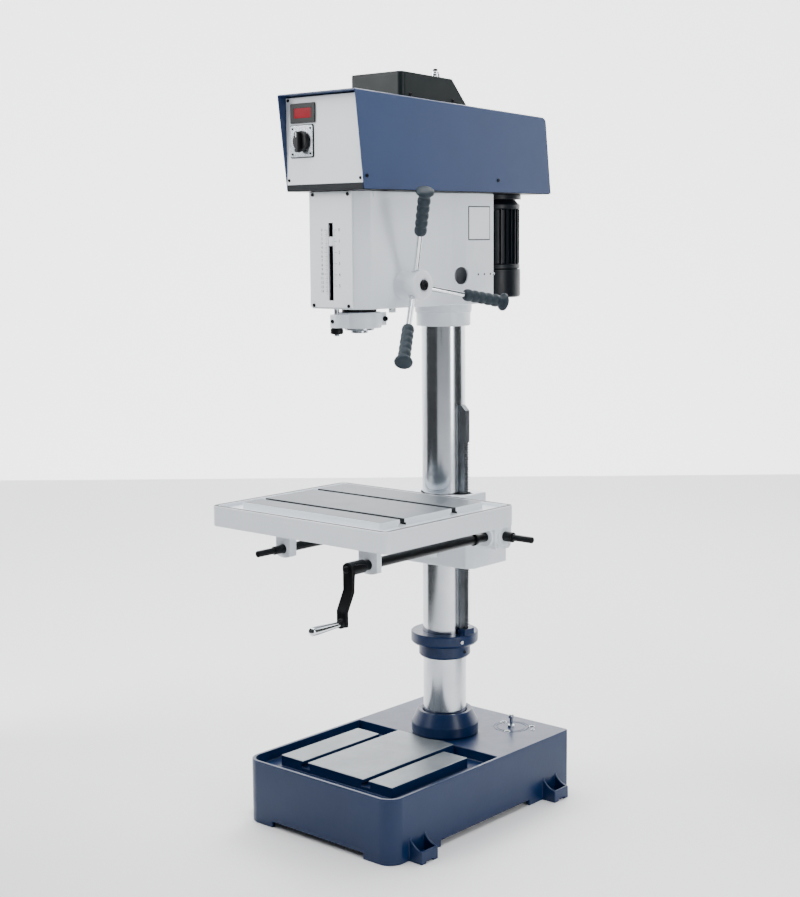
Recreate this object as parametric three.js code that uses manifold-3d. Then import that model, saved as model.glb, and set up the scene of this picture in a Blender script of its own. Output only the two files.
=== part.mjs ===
// A floor-standing drill press in millimetres, +Z up: blue box base, ground column with a rack,
// geared table, white head with a rack-fed quill, belt drive under a blue hood, and a rear motor.
// The model is laid out with the column on the Z axis and the operator on the -Y side.
import * as THREE from "three";
import { mergeVertices } from "three/addons/utils/BufferGeometryUtils.js";
import Module from "manifold-3d";

const wasm = await Module();
wasm.setup();

// ---------------------------------------------------------------- driving dimensions

const fit = 0.4; // clearance between pieces that touch or turn in each other
const skin = 1; // how far a cutter runs past the face it opens
const gearGap = 1.5; // room around the gears and the rack inside the bracket
const tipRelief = 0.3; // taken off the gear tips, so they turn freely

const base = {
  halfWidth: 240, front: -480, rear: 213, bottom: 11, height: 169, wall: 11, rim: 9,
  frontRadius: 40, rearRadius: 10, deckFront: -77, trayDepth: 25, floor: 14,
  archHeight: 15, footLength: 90, sideArchFront: -304, sideArchRear: 44,
};
const pads = { halfWidth: 183, front: -413, rear: -134, proud: 2, slotX: 99.8 };
const lug = {
  reach: 39, halfLength: 29, rib: 6, wallHeight: 66, outerHeight: 41, plate: 24, bolt: 8,
  notch: 6, notchHalf: 12,
  centres: [-391, 128],
};
const sump = { x: 113, y: 134, radius: 45, thickness: 4, hole: 32, boltRadius: 4, boltHeight: 30 };
const slot = { neck: 15.4, head: 26, headHeight: 7, depth: 16.3 };

const column = { radius: 55, wall: 9, top: 1500 };
const flange = { footWall: 29, bellyWall: 31.5, neckWall: 15, bellyLow: 5, bellyHigh: 28, height: 61 };
const collar = { wall: 11, bottom: 372, height: 33.6, screw: 5 };
const ring = { wall: 31, height: 31, earRise: 15, earWidth: 10, earReach: 22 };
const rack = {
  module: 2, teeth: 78, thickness: 21.6, halfWidth: 8, pocket: 26, lead: 26, tail: 93, bevel: 14,
};

const table = {
  halfWidth: 282, front: -537.6, rear: -74, top: 809.3, rimTop: 801.6, thickness: 56.7,
  rim: 13.4, cornerRadius: 19,
  trayDepth: 16.3, blockHalf: 225, blockFront: -488.6, blockRear: -123.4, blockRadius: 8,
  slots: [-417.6, -235.7], skirt: 16, pocketDepth: 27,
};
const bracket = {
  bottom: 622, top: 797, front: -81, rear: 77, left: -95, right: 141, upperHalf: 88, upperRear: 62,
  armHalf: 45, armFront: -330, armTip: 38, split: 6,
};
const shaft = { x: 182.4, z: 710.4, radius: 11.5, hangerFront: -487.7, hangerDepth: 15.4, hangerHalf: 29 };
const lockRod = { x: -87.4, z: 712.3, radius: 10.5, hangerDepth: 22, hangerHalf: 24, inBracket: 30 };
const hangerDrop = 5; // metal below a hanger's bore, at its corners
const hangerSag = 12; // how much lower the curve under a hanger is pulled
const crossShaft = { y: -28, radius: 7, pastPinion: 27, stubStart: 216 };
const stub = { hub: 12.5, hubLength: 25, grip: 8, gripLength: 58.5 };
const lockTip = { collar: 10, collarLength: 28.8, grip: 7.7, gripLength: 52.8 };
const bevel = { radius: 15.2, tip: 6, offset: 17 };
const pinion = { teeth: 16, frontEnd: 19, rearEnd: 20 };
const worm = { radius: 10.5, inward: 19, outward: 21 };
const wheel = { teeth: 20, toothDepth: 5, radius: 28, thickness: 12, centreDistance: 39 };
const gearCase = { halfHeight: 33.6, front: -61, rear: 6, right: 210, wall: 8, boss: 24, bossRise: 6 };
const crank = {
  collarLength: 15.4, hub: 15.4, hubLength: 50.8, drop: 118, armWidth: 28.8, armThickness: 8.6,
  bendHigh: 49, bendLow: 91, offset: 30, boss: 11, pin: 4, gripLength: 85.5, gripInner: 6.7, gripOuter: 10,
};

const head = {
  bottom: 1272, top: 1540.8, half: 96, front: -399.5, corner: 30, wall: 8, floor: 12,
  flareStart: -82, flareEnd: -41, rearHalf: 107.5, rear: 67, socketWall: 15, socketTop: 1490,
  collarWall: 13, collarBottom: 1217, sideHoleY: -53, sideHoleZ: 1342, sideHole: 21,
};
const quill = { y: -309, radius: 35, wall: 8, bottom: 1219.5, top: 1480, travel: 120, guideWall: 15 };
const spindle = { nose: 19.7, body: 15, spline: 11, bottom: 1213, top: 1740, taper: 12, socket: 80 };
const bearing = { height: 16, inset: 7 };
const clamp = { wall: 17.6, bottom: 1225, height: 37, earHalf: 14, earDrop: 3, pinchEar: 38, split: 3 };
const bumper = { wall: 6, height: 9.2 };
const depth = {
  y: -386, rod: 6, rodTop: 1445, pointerZ: 1427, pointerHeight: 21, nut: 15, nutHeight: 14,
  slotHalf: 7.5, slotBottom: 1292, slotTop: 1469, plateHalf: 67, plateThickness: 3.2,
};
const feed = {
  z: 1325.5, module: 2, teeth: 13, shaft: 9, faceHalf: 12, boss: 30, bossReach: 26,
  hub: 35.5, hubLength: 40, lean: 22.9, firstAngle: -11.7, rods: 3, rod: 6.5, rodIn: 22,
  reach: 247, gripLength: 115, grip: 13.5, gripCap: 21.5, rodFrom: 10, rodInGrip: 30,
};
const springCap = { radius: 38, depth: 26, wall: 3, springInner: 13, springOuter: 31 };

const hood = {
  half: 122, sheet: 2.5, bottom: 1543.2, frontBottom: -419, frontTop: -446, frontHeight: 217.1,
  rearBottom: 288, rearTop: 264, rearHeight: 189.5, rearRadius: 16,
};
const pan = { sheet: 2, lip: 15, lipThickness: 2.4 };
const panel = { y: -421, thickness: 2, half: 119, height: 197 };
const tach = {
  x: -63.5, z: 1717.7, width: 79, height: 45, thickness: 3.2, windowWidth: 52, windowHeight: 22,
};
const knobSwitch = {
  x: -65.5, z: 1654.5, plate: 72, plateThickness: 3.2, knob: 24, shaft: 7, knobDepth: 20,
};
const topCover = { half: 82, front: -246, rearTop: -62, rear: 0, height: 63, sheet: 2.5, corner: 14 };
const fitting = { x: 58, y: -96, radius: 12.5, height: 21, rise: 1 };

const drive = { z: 1600, faceHeight: 25, spindlePulley: 88, motorPulley: 38, belt: 4, beltHeight: 20 };
const motor = {
  y: 191, radius: 75, bottom: 1352.5, top: 1528.5, shell: 12, shaft: 9, core: 46, shoulder: 14,
  flange: 78, flangeHeight: 12, fanCover: 77, fanHeight: 71, boxSide: 80, boxDepth: 34, boxZ: 1440,
};

// ---------------------------------------------------------------- sizes worked out from them

const deckZ = base.height + fit;
const collarTop = collar.bottom + collar.height;
const ringTop = collarTop + fit + ring.height;
const ringRadius = column.radius + ring.wall;
const collarRadius = column.radius + collar.wall;
const flangeBelly = column.radius + flange.bellyWall;
const socketRadius = column.radius + head.socketWall;
const quillBore = quill.radius - quill.wall;
const guideRadius = quill.radius + quill.guideWall;
const rackFoot = ringTop - rack.pocket + fit;
const rackIn = column.radius + fit;
const rackTip = rackIn + rack.thickness;
const rackPitchX = rackTip - rack.module;
const rackPitch = Math.PI * rack.module;
const rackStart = rackFoot + rack.lead;
const rackTop = rackStart + rack.teeth * rackPitch + rack.tail;
const pinionRadius = (rack.module * pinion.teeth) / 2;
const pinionX = rackPitchX + pinionRadius;
const pinionZ = shaft.z - wheel.centreDistance;
const crossShaftStart = pinionX - crossShaft.pastPinion;
const wormStart = pinionX - worm.inward;
const wormEnd = pinionX + worm.outward;
const tableBottom = table.top - table.thickness;
const crankHubStart = shaft.hangerFront - fit - crank.collarLength;
const crankFace = crankHubStart - crank.hubLength;
const gripZ = shaft.z - crank.drop;
const gripStart = crankFace - crank.offset - fit;
const feedRadius = (feed.module * feed.teeth) / 2;
const quillFlatY = quill.y + quill.radius - feed.module / 2;
const feedY = quillFlatY - feed.module + feedRadius;
const feedPitch = Math.PI * feed.module;
const hubStart = head.half + feed.bossReach + fit;
const hubEnd = hubStart + feed.hubLength;
const hoodSlope = (hood.frontHeight - hood.rearHeight) / (hood.rearTop - hood.frontTop);
const roofZ = (y) => hood.bottom + hood.frontHeight - hoodSlope * (y - hood.frontTop);
const panBottom = head.top + fit;
const coverZ = roofZ(topCover.front) + topCover.height;

// ---------------------------------------------------------------- solids and cutters

// A closed geometry as a manifold solid.
function solid(geometry) {
  const g = geometry.clone();
  g.deleteAttribute("normal");
  g.deleteAttribute("uv");
  const merged = mergeVertices(g, 1e-4);
  return new wasm.Manifold(
    new wasm.Mesh({
      numProp: 3,
      vertProperties: merged.attributes.position.array,
      triVerts: new Uint32Array(merged.index.array),
    }),
  );
}

// A box between two corners.
function box(x0, x1, y0, y1, z0, z1) {
  const g = new THREE.BoxGeometry(x1 - x0, y1 - y0, z1 - z0);
  return solid(g.translate((x0 + x1) / 2, (y0 + y1) / 2, (z0 + z1) / 2));
}

const turnTo = {
  x: (g) => g.rotateZ(-Math.PI / 2),
  y: (g) => g,
  z: (g) => g.rotateX(Math.PI / 2),
};

// A round bar along an axis, from one end to the other, with its centre line through `at`.
function bar(axis, radius, from, to, at, sides = 16) {
  const g = turnTo[axis](new THREE.CylinderGeometry(radius, radius, to - from, sides));
  return solid(g.translate(...place(axis, (from + to) / 2, at)));
}

// A turned piece: [radius, distance along the axis] points, listed up the outside.
function turned(axis, profile, at, sides = 24) {
  const points = profile.map(([r, d]) => new THREE.Vector2(r, d));
  return solid(turnTo[axis](new THREE.LatheGeometry(points, sides)).translate(...place(axis, 0, at)));
}

// The three coordinates of a place `along` an axis whose other two coordinates are `at`.
function place(axis, along, at) {
  if (axis === "x") return [along, at[0], at[1]];
  if (axis === "y") return [at[0], along, at[1]];
  return [at[0], at[1], along];
}

// A turned ring between two radii and two heights, with an optional chamfer on its outer edges.
function sleeve(axis, inner, outer, from, to, at, chamfer = 0, sides = 24) {
  const profile = [[inner, from], [outer - chamfer, from], [outer, from + chamfer]];
  if (chamfer === 0) profile.splice(1, 1);
  profile.push([outer, to - chamfer]);
  if (chamfer > 0) profile.push([outer - chamfer, to]);
  profile.push([inner, to], [inner, from]);
  return turned(axis, profile, at, sides);
}

const flat = (points) => new THREE.Shape(points.map(([a, b]) => new THREE.Vector2(a, b)));

// A plan shape extruded upwards.
function pillar(shape, z0, z1, curveSegments = 4) {
  const g = new THREE.ExtrudeGeometry(shape, { depth: z1 - z0, bevelEnabled: false, curveSegments });
  return solid(g.translate(0, 0, z0));
}

// A side view of [y, z] points extruded across X.
function sideProfile(shape, x0, x1, curveSegments = 4) {
  const g = new THREE.ExtrudeGeometry(shape, { depth: x1 - x0, bevelEnabled: false, curveSegments });
  return solid(g.rotateX(Math.PI / 2).rotateZ(Math.PI / 2).translate(x0, 0, 0));
}

// A front view of [x, z] points extruded along Y.
function frontProfile(shape, y0, y1, curveSegments = 5) {
  const g = new THREE.ExtrudeGeometry(shape, { depth: y1 - y0, bevelEnabled: false, curveSegments });
  return solid(g.rotateX(Math.PI / 2).translate(0, y1, 0));
}

// A rectangle with one radius on its two front corners and another on its two rear corners.
function roundedPlan(x0, x1, y0, y1, frontRadius, rearRadius = frontRadius) {
  const s = new THREE.Shape();
  s.moveTo(x0 + frontRadius, y0).lineTo(x1 - frontRadius, y0);
  s.absarc(x1 - frontRadius, y0 + frontRadius, frontRadius, -Math.PI / 2, 0);
  s.absarc(x1 - rearRadius, y1 - rearRadius, rearRadius, 0, Math.PI / 2);
  s.absarc(x0 + rearRadius, y1 - rearRadius, rearRadius, Math.PI / 2, Math.PI);
  s.absarc(x0 + frontRadius, y0 + frontRadius, frontRadius, Math.PI, 1.5 * Math.PI);
  return s;
}

// The cutter of one T-slot, centred on zero in the direction across it.
function slotCutter(axis, across, top, from, to) {
  const half = (w) => [across - w / 2, across + w / 2];
  const low = top - slot.depth;
  const [n0, n1] = half(slot.neck);
  const [h0, h1] = half(slot.head);
  if (axis === "y") {
    return box(n0, n1, from, to, low, top + skin).add(box(h0, h1, from, to, low, low + slot.headHeight));
  }
  return box(from, to, n0, n1, low, top + skin).add(box(from, to, h0, h1, low, low + slot.headHeight));
}

// A spur gear's outline; slim teeth leave room for the mating teeth.
function gearShape(teeth, tip, root, phase = 0) {
  const s = new THREE.Shape();
  const pitchAngle = (2 * Math.PI) / teeth;
  const corners = [[-0.24, root], [-0.09, tip], [0.09, tip], [0.24, root]];
  for (let i = 0; i < teeth; i++) {
    for (const [share, r] of corners) {
      const a = phase + (i + share) * pitchAngle;
      if (i === 0 && share === corners[0][0]) s.moveTo(r * Math.cos(a), r * Math.sin(a));
      else s.lineTo(r * Math.cos(a), r * Math.sin(a));
    }
  }
  return s;
}

// ---------------------------------------------------------------- finishes

const finish = (color, roughness, metalness) =>
  new THREE.MeshStandardMaterial({ color, roughness, metalness });
const navyEnamel = () => finish("#1c3a66", 0.42, 0);
const hoodEnamel = () => finish("#3c5580", 0.4, 0);
const whiteEnamel = () => finish("#d9dee3", 0.4, 0);
const machinedIron = () => finish("#8f969b", 0.38, 0.9);
const groundSteel = () => finish("#b9bcc0", 0.22, 1);
const blackOxide = () => finish("#1d2124", 0.4, 0.8);
const blackEnamel = () => finish("#16212c", 0.45, 0);
const chrome = () => finish("#d5d8da", 0.12, 1);
const slateRubber = () => finish("#33434e", 0.6, 0);
const blackPlastic = () => finish("#15181a", 0.4, 0);

const press = new THREE.Group();

// Adds one sub-part to the press.
function add(name, body, material) {
  const data = body.getMesh();
  const g = new THREE.BufferGeometry();
  g.setAttribute("position", new THREE.BufferAttribute(new Float32Array(data.vertProperties), 3));
  g.setIndex(new THREE.BufferAttribute(new Uint32Array(data.triVerts), 1));
  g.computeVertexNormals();
  const mesh = new THREE.Mesh(g, material);
  mesh.name = name;
  press.add(mesh);
}

// ---------------------------------------------------------------- base

// One anchor lug on the right side: two ribs, an outer wall and a floor plate with a bolt hole.
function anchorLug(y) {
  const wall = base.halfWidth;
  const outer = wall + lug.reach;
  const low = base.bottom;
  const s = new THREE.Shape();
  s.moveTo(wall - base.wall / 2, low).lineTo(outer, low).lineTo(outer, lug.outerHeight);
  s.quadraticCurveTo(wall + lug.reach / 3, lug.outerHeight + 4, wall, lug.wallHeight);
  s.lineTo(wall - base.wall / 2, lug.wallHeight).lineTo(wall - base.wall / 2, low);
  const inner = lug.halfLength - lug.rib;
  return frontProfile(s, y - lug.halfLength, y + lug.halfLength)
    .subtract(box(wall, outer - lug.rib, y - inner, y + inner, lug.plate, lug.wallHeight + skin))
    .subtract(bar("z", lug.bolt, low - skin, lug.plate + skin, [wall + lug.reach / 2, y], 12))
    .subtract(box(outer - lug.rib, outer + skin, y - lug.notchHalf, y + lug.notchHalf,
      low - skin, low + lug.notch));
}

function baseCasting() {
  const b = base;
  const trayFloor = b.height - b.trayDepth;
  const padTop = b.height + pads.proud;
  let body = pillar(roundedPlan(-b.halfWidth, b.halfWidth, b.front, b.rear, b.frontRadius, b.rearRadius),
    b.bottom, b.height);
  const trayHalf = b.halfWidth - b.rim;
  const tray = roundedPlan(-trayHalf, trayHalf, b.front + b.rim, b.deckFront, b.frontRadius - b.rim, 4);
  body = body.subtract(pillar(tray, trayFloor, b.height + skin));
  body = body.add(box(-pads.halfWidth, pads.halfWidth, pads.front, pads.rear, trayFloor - skin, padTop));
  const middle = pads.slotX - slot.neck / 2;
  body = body.add(box(-middle, middle, pads.rear - skin, b.deckFront, trayFloor - skin, padTop));
  for (const side of [-1, 1]) {
    body = body.subtract(slotCutter("y", side * pads.slotX, padTop, pads.front - skin, pads.rear + skin));
  }
  const inside = b.halfWidth - b.wall;
  const hollow = roundedPlan(-inside, inside, b.front + b.wall, b.rear - b.wall, b.frontRadius - b.wall, 2);
  const below = b.bottom - skin;
  const archTop = b.bottom + b.archHeight;
  body = body.subtract(pillar(hollow, below, trayFloor - b.floor));
  body = body.subtract(box(-inside + 4, inside - 4, b.deckFront + b.wall, b.rear - b.wall - 4, below,
    b.height - b.floor - sump.thickness));
  const archHalf = b.halfWidth - b.footLength;
  body = body.subtract(box(-archHalf, archHalf, b.front - skin, b.rear + skin, below, archTop));
  const past = b.halfWidth + skin;
  body = body.subtract(box(-past, past, b.sideArchFront, b.sideArchRear, below, archTop));
  for (const y of lug.centres) {
    const right = anchorLug(y);
    body = body.add(right).add(right.mirror([1, 0, 0]));
  }
  const recess = b.height - sump.thickness - fit;
  body = body.subtract(bar("z", sump.radius + fit, recess, b.height + skin, [sump.x, sump.y], 28));
  body = body.subtract(bar("z", flangeBelly + 2 * fit, b.height, padTop + skin, [0, 0], 40));
  return body.subtract(bar("z", sump.hole, trayFloor - b.floor - skin, b.height, [sump.x, sump.y], 20));
}

function sumpCover() {
  const bottom = base.height - sump.thickness;
  return sleeve("z", sump.boltRadius + fit, sump.radius, bottom, base.height, [sump.x, sump.y], 0, 28);
}

function sumpBolt() {
  const r = sump.boltRadius;
  const low = base.height - sump.thickness;
  const top = base.height + sump.boltHeight;
  return turned("z", [[0, low], [r, low], [r, top - 8], [r + 3, top - 8], [r + 3, top - 1], [0, top]],
    [sump.x, sump.y], 12);
}

function columnFlange() {
  const f = flange;
  const inner = column.radius + fit;
  const foot = column.radius + f.footWall;
  const neck = column.radius + f.neckWall;
  const z = (h) => deckZ + h;
  return turned("z", [
    [inner, z(0)], [foot, z(0)], [flangeBelly, z(f.bellyLow)], [flangeBelly, z(f.bellyHigh)],
    [neck, z(f.height)], [inner + 5, z(f.height)], [inner, z(f.height - 4)], [inner, z(0)],
  ], [0, 0], 40);
}

const columnTube = () => sleeve("z", column.radius - column.wall, column.radius, deckZ, column.top,
  [0, 0], 0, 48);

function stopCollar() {
  const body = sleeve("z", column.radius + fit, collarRadius, collar.bottom, collarTop, [0, 0], 3, 40);
  const middle = collar.bottom + collar.height / 2;
  return body.subtract(bar("x", collar.screw + fit, column.radius - skin, collarRadius + skin,
    [0, middle], 12));
}

// ---------------------------------------------------------------- rack, which swings with the table

function rackRing() {
  const bottom = collarTop + fit;
  const r = rack.halfWidth + fit;
  const ears = box(column.radius + 6, column.radius + 6 + ring.earReach, -r - ring.earWidth, r + ring.earWidth,
    ringTop - skin, ringTop + ring.earRise);
  return turned("z", [
    [rackIn, bottom], [ringRadius - 6, bottom], [ringRadius, bottom + 6], [ringRadius, ringTop - 1.5],
    [ringRadius - 1.5, ringTop], [rackIn, ringTop], [rackIn, bottom],
  ], [0, 0], 40)
    .add(ears)
    .subtract(box(column.radius - 4, rackTip + fit, -r, r, rackFoot - fit, ringTop + ring.earRise + skin));
}

function rackBar() {
  const m = rack.module;
  const root = rackTip - 2.25 * m;
  const points = [[rackIn, rackFoot], [rackTip, rackFoot], [rackTip, rackStart]];
  const half = rackPitch / 2;
  for (let i = 0; i < rack.teeth; i++) {
    const z = rackStart + (i + 0.5) * rackPitch;
    points.push([root, z - half * 0.42], [root, z + half * 0.42], [rackTip, z + half * 0.82]);
    if (i < rack.teeth - 1) points.push([rackTip, z + half * 1.18]);
  }
  points.push([rackTip, rackTop - rack.bevel], [rackTip - rack.bevel, rackTop], [rackIn, rackTop]);
  return frontProfile(flat(points), -rack.halfWidth, rack.halfWidth);
}

// ---------------------------------------------------------------- table and its lift

function tableTop() {
  const t = table;
  const plan = roundedPlan(-t.halfWidth, t.halfWidth, t.front, t.rear, t.cornerRadius);
  let body = pillar(plan, tableBottom, t.rimTop);
  const inner = t.halfWidth - t.rim;
  const tray = roundedPlan(-inner, inner, t.front + t.rim, t.rear - t.rim, t.cornerRadius - t.rim);
  const block = roundedPlan(-t.blockHalf, t.blockHalf, t.blockFront, t.blockRear, t.blockRadius);
  body = body.subtract(pillar(tray, t.top - t.trayDepth, t.rimTop + skin));
  body = body.add(pillar(block, t.top - t.trayDepth - skin, t.top));
  for (const y of t.slots) {
    body = body.subtract(slotCutter("x", y, t.top, -t.blockHalf - skin, t.blockHalf + skin));
  }
  const low = tableBottom - skin;
  const hollow = box(-t.halfWidth + t.skirt, t.halfWidth - t.skirt, t.front + t.skirt, t.rear - t.skirt,
    low, tableBottom + t.pocketDepth);
  const seat = bracket.armHalf + t.skirt;
  const kept = box(-seat, seat, bracket.armFront - t.skirt, t.rear, tableBottom - 2 * skin, t.top)
    .add(hangerSeat(shaft.x, shaft.hangerHalf, shaft.hangerDepth))
    .add(hangerSeat(lockRod.x, lockRod.hangerHalf, lockRod.hangerDepth));
  return body.subtract(hollow.subtract(kept));
}

// The solid metal above a shaft hanger.
function hangerSeat(x, half, deep) {
  const rim = 6;
  return box(x - half - rim, x + half + rim, table.front, shaft.hangerFront + deep + rim,
    tableBottom - 2 * skin, table.top);
}

// The upright plate that carries the front end of a shaft under the table.
function hanger(x, z, radius, half, deep) {
  const top = tableBottom - fit;
  const bottom = z - radius - hangerDrop;
  const s = new THREE.Shape();
  s.moveTo(x - half, top).lineTo(x - half, bottom);
  s.quadraticCurveTo(x, bottom - hangerSag, x + half, bottom).lineTo(x + half, top).lineTo(x - half, top);
  return frontProfile(s, shaft.hangerFront, shaft.hangerFront + deep)
    .subtract(bar("y", radius + fit, shaft.hangerFront - skin, shaft.hangerFront + deep + skin, [x, z]));
}

function tableBracket() {
  const b = bracket;
  const lower = flat([
    [b.left, b.front], [16, b.front], [b.right - 16, b.front + 13], [b.right, b.front + 29],
    [b.right, b.rear], [b.left, b.rear],
  ]);
  const underTable = tableBottom - fit;
  const behindTable = table.rear + fit;
  let body = pillar(lower, b.bottom, underTable);
  body = body.add(box(-b.upperHalf, b.upperHalf, behindTable, b.upperRear, underTable - skin, b.top));
  const arm = flat([
    [b.front + skin, b.bottom + 20], [b.front + skin, underTable],
    [b.armFront, underTable], [b.armFront, underTable - b.armTip],
  ]);
  body = body.add(sideProfile(arm, -b.armHalf, b.armHalf));
  const through = [b.bottom - skin, b.top + skin];
  body = body.subtract(bar("z", column.radius + fit, ...through, [0, 0], 48));
  const rackHalf = rack.halfWidth + gearGap;
  body = body.subtract(box(column.radius - 5, rackTip + gearGap, -rackHalf, rackHalf, ...through));
  body = body.subtract(box(-b.split / 2, b.split / 2, column.radius - 5, b.rear + skin, ...through));
  body = body.subtract(gearRoom());
  return body.subtract(bar("y", lockRod.radius + fit, b.front - skin, b.front + lockRod.inBracket + skin,
    [lockRod.x, lockRod.z], 20));
}

const wheelFront = crossShaft.y - wheel.thickness / 2;
const wheelRear = crossShaft.y + wheel.thickness / 2;

// The hollow in the bracket around the pinion, the worm wheel, the worm and their shafts.
function gearRoom() {
  const axis = [pinionX, pinionZ];
  const half = wheel.thickness / 2 + gearGap;
  const face = rack.halfWidth;
  return bar("y", wheel.radius + gearGap, crossShaft.y - half, crossShaft.y + half, axis, 32)
    .add(bar("y", pinionRadius + rack.module + gearGap, crossShaft.y, face + gearGap, axis, 24))
    .add(bar("y", crossShaft.radius + fit, wheelFront - pinion.frontEnd - 2 * skin,
      face + pinion.rearEnd + 2 * skin, axis, 20))
    .add(bar("x", worm.radius + gearGap, crossShaftStart - 2 * skin, bracket.right + skin,
      [crossShaft.y, shaft.z], 24));
}

function liftPinion() {
  const tip = pinionRadius + rack.module;
  const root = pinionRadius - 1.25 * rack.module;
  const toothAtRack = Math.PI + pinionPhase();
  const teeth = gearShape(pinion.teeth, tip - tipRelief, root, toothAtRack);
  const gear = frontProfile(teeth, -rack.halfWidth, rack.halfWidth);
  const wheelTeeth = gearShape(wheel.teeth, wheel.radius, wheel.radius - wheel.toothDepth);
  const wheelBody = frontProfile(wheelTeeth, wheelFront, wheelRear);
  return gear
    .add(bar("y", crossShaft.radius, wheelFront - pinion.frontEnd, rack.halfWidth + pinion.rearEnd, [0, 0], 20))
    .add(bar("y", root, wheelRear - skin, 0, [0, 0], 20))
    .add(wheelBody)
    .translate([pinionX, 0, pinionZ]);
}

// The turn that puts a pinion tooth into the rack gap nearest to the pinion's own height.
function pinionPhase() {
  const gapNumber = Math.round((pinionZ - rackStart) / rackPitch - 0.5);
  const gapZ = rackStart + (gapNumber + 0.5) * rackPitch;
  return -(gapZ - pinionZ) / pinionRadius;
}

function crossShaftBody() {
  const r = crossShaft.radius;
  const b = bevel;
  const back = shaft.x - b.offset;
  const hubEndX = crossShaft.stubStart + stub.hubLength;
  return turned("x", [
    [0, crossShaftStart], [r, crossShaftStart], [r, wormStart], [worm.radius, wormStart + 3],
    [worm.radius, wormEnd - 3], [r, wormEnd], [r, back - 8], [b.radius, back - 6], [b.radius, back],
    [b.tip + 1.2, back + b.radius - b.tip - 1.2], [r - 1, crossShaft.stubStart],
    [stub.hub, crossShaft.stubStart],
    [stub.hub, hubEndX], [stub.grip, hubEndX], [stub.grip, hubEndX + stub.gripLength - 1.5],
    [stub.grip - 1.5, hubEndX + stub.gripLength], [0, hubEndX + stub.gripLength],
  ], [crossShaft.y, shaft.z], 24);
}

function gearCaseBody() {
  const c = gearCase;
  const left = bracket.right + fit;
  const outline = roundedPlan(c.front, c.rear, shaft.z - c.halfHeight, shaft.z + c.halfHeight, 16);
  const room = roundedPlan(c.front + c.wall, c.rear - c.wall, shaft.z - c.halfHeight + c.wall,
    shaft.z + c.halfHeight - c.wall, 8);
  return sideProfile(outline, left, c.right, 4)
    .add(bar("y", c.boss, c.front - c.bossRise, c.front + skin, [shaft.x, shaft.z]))
    .intersect(box(left, crossShaft.stubStart, c.front - c.bossRise, c.rear, shaft.z - 60, shaft.z + 60))
    .add(bar("x", c.boss, c.right - skin, crossShaft.stubStart - fit, [crossShaft.y, shaft.z]))
    .subtract(sideProfile(room, left - skin, c.right - c.wall, 4))
    .subtract(bar("y", shaft.radius + fit, c.front - c.bossRise - skin, c.front + c.wall + skin,
      [shaft.x, shaft.z]))
    .subtract(bar("x", crossShaft.radius + fit, c.right - c.wall - skin, crossShaft.stubStart,
      [crossShaft.y, shaft.z]));
}

function crankShaft() {
  const end = crossShaft.y - bevel.offset;
  return turned("y", [
    [0, crankHubStart], [shaft.radius, crankHubStart], [shaft.radius, end - 7], [bevel.radius, end - 6],
    [bevel.radius, end], [bevel.tip + 1.2, end + bevel.radius - bevel.tip - 1.2],
    [0, end + bevel.radius - bevel.tip - 1.2],
  ], [shaft.x, shaft.z], 24);
}

function crankArm() {
  const c = crank;
  const hub = bar("y", c.hub, crankFace, crankHubStart - fit, [0, 0], 28);
  const t = c.armThickness;
  const near = crankFace;
  const far = crankFace - c.offset + t;
  const arm = flat([
    [near, c.hub * 0.6], [near + t, c.hub * 0.6], [near + t, -c.bendHigh - 2], [far + t, -c.bendLow - 2],
    [far + t, -c.drop - c.boss * 0.7], [far, -c.drop - c.boss * 0.7], [far, -c.bendLow + 2],
    [near, -c.bendHigh + 2],
  ]);
  const boss = bar("y", c.boss, far - 5, far + t + 1, [0, -c.drop], 20);
  const pin = bar("y", c.pin, gripStart - c.gripLength + 8, far + 1, [0, -c.drop], 12);
  return hub
    .add(sideProfile(arm, -c.armWidth / 2, c.armWidth / 2))
    .add(boss)
    .add(pin)
    .translate([shaft.x, 0, shaft.z]);
}

const crankNut = () => bar("y", 7, crankFace - 7, crankFace - fit, [shaft.x, shaft.z], 6);

function crankGrip() {
  const c = crank;
  const end = gripStart - c.gripLength;
  const bore = c.pin + fit;
  const far = crankFace - c.offset + c.armThickness - 5 - fit;
  const profile = [
    [0, end], [c.gripOuter - 2, end], [c.gripOuter, end + 2], [c.gripOuter, end + 14],
    [c.gripInner, far - 3],
    [c.gripInner - 1, far], [bore, far], [bore, end + 8 - fit - 1], [0, end + 8 - fit - 1],
  ];
  return turned("y", profile, [shaft.x, gripZ], 24);
}

function lockRodBody() {
  const l = lockRod;
  const face = shaft.hangerFront - fit;
  const t = lockTip;
  const rear = bracket.front + l.inBracket;
  const collarFace = face - t.collarLength;
  const tip = collarFace - t.gripLength;
  return turned("y", [
    [0, tip], [t.grip - 1.5, tip], [t.grip, tip + 1.5], [t.grip, collarFace], [t.collar, collarFace],
    [t.collar, face], [l.radius, face], [l.radius, rear], [0, rear],
  ], [l.x, l.z], 20);
}

// ---------------------------------------------------------------- head

// The head's plan, drawn `inset` inside its outer walls.
function headPlan(inset) {
  const h = head;
  const half = h.half - inset;
  const rearHalf = h.rearHalf - inset;
  const corner = h.corner - inset * 0.4;
  const front = h.front + inset;
  const right = [
    [half - corner, front], [half, front + corner], [half, h.flareStart], [rearHalf, h.flareEnd],
    [rearHalf, h.rear - inset],
  ];
  const left = right.map(([x, y]) => [-x, y]).reverse();
  return flat([...right, ...left]);
}

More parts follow.
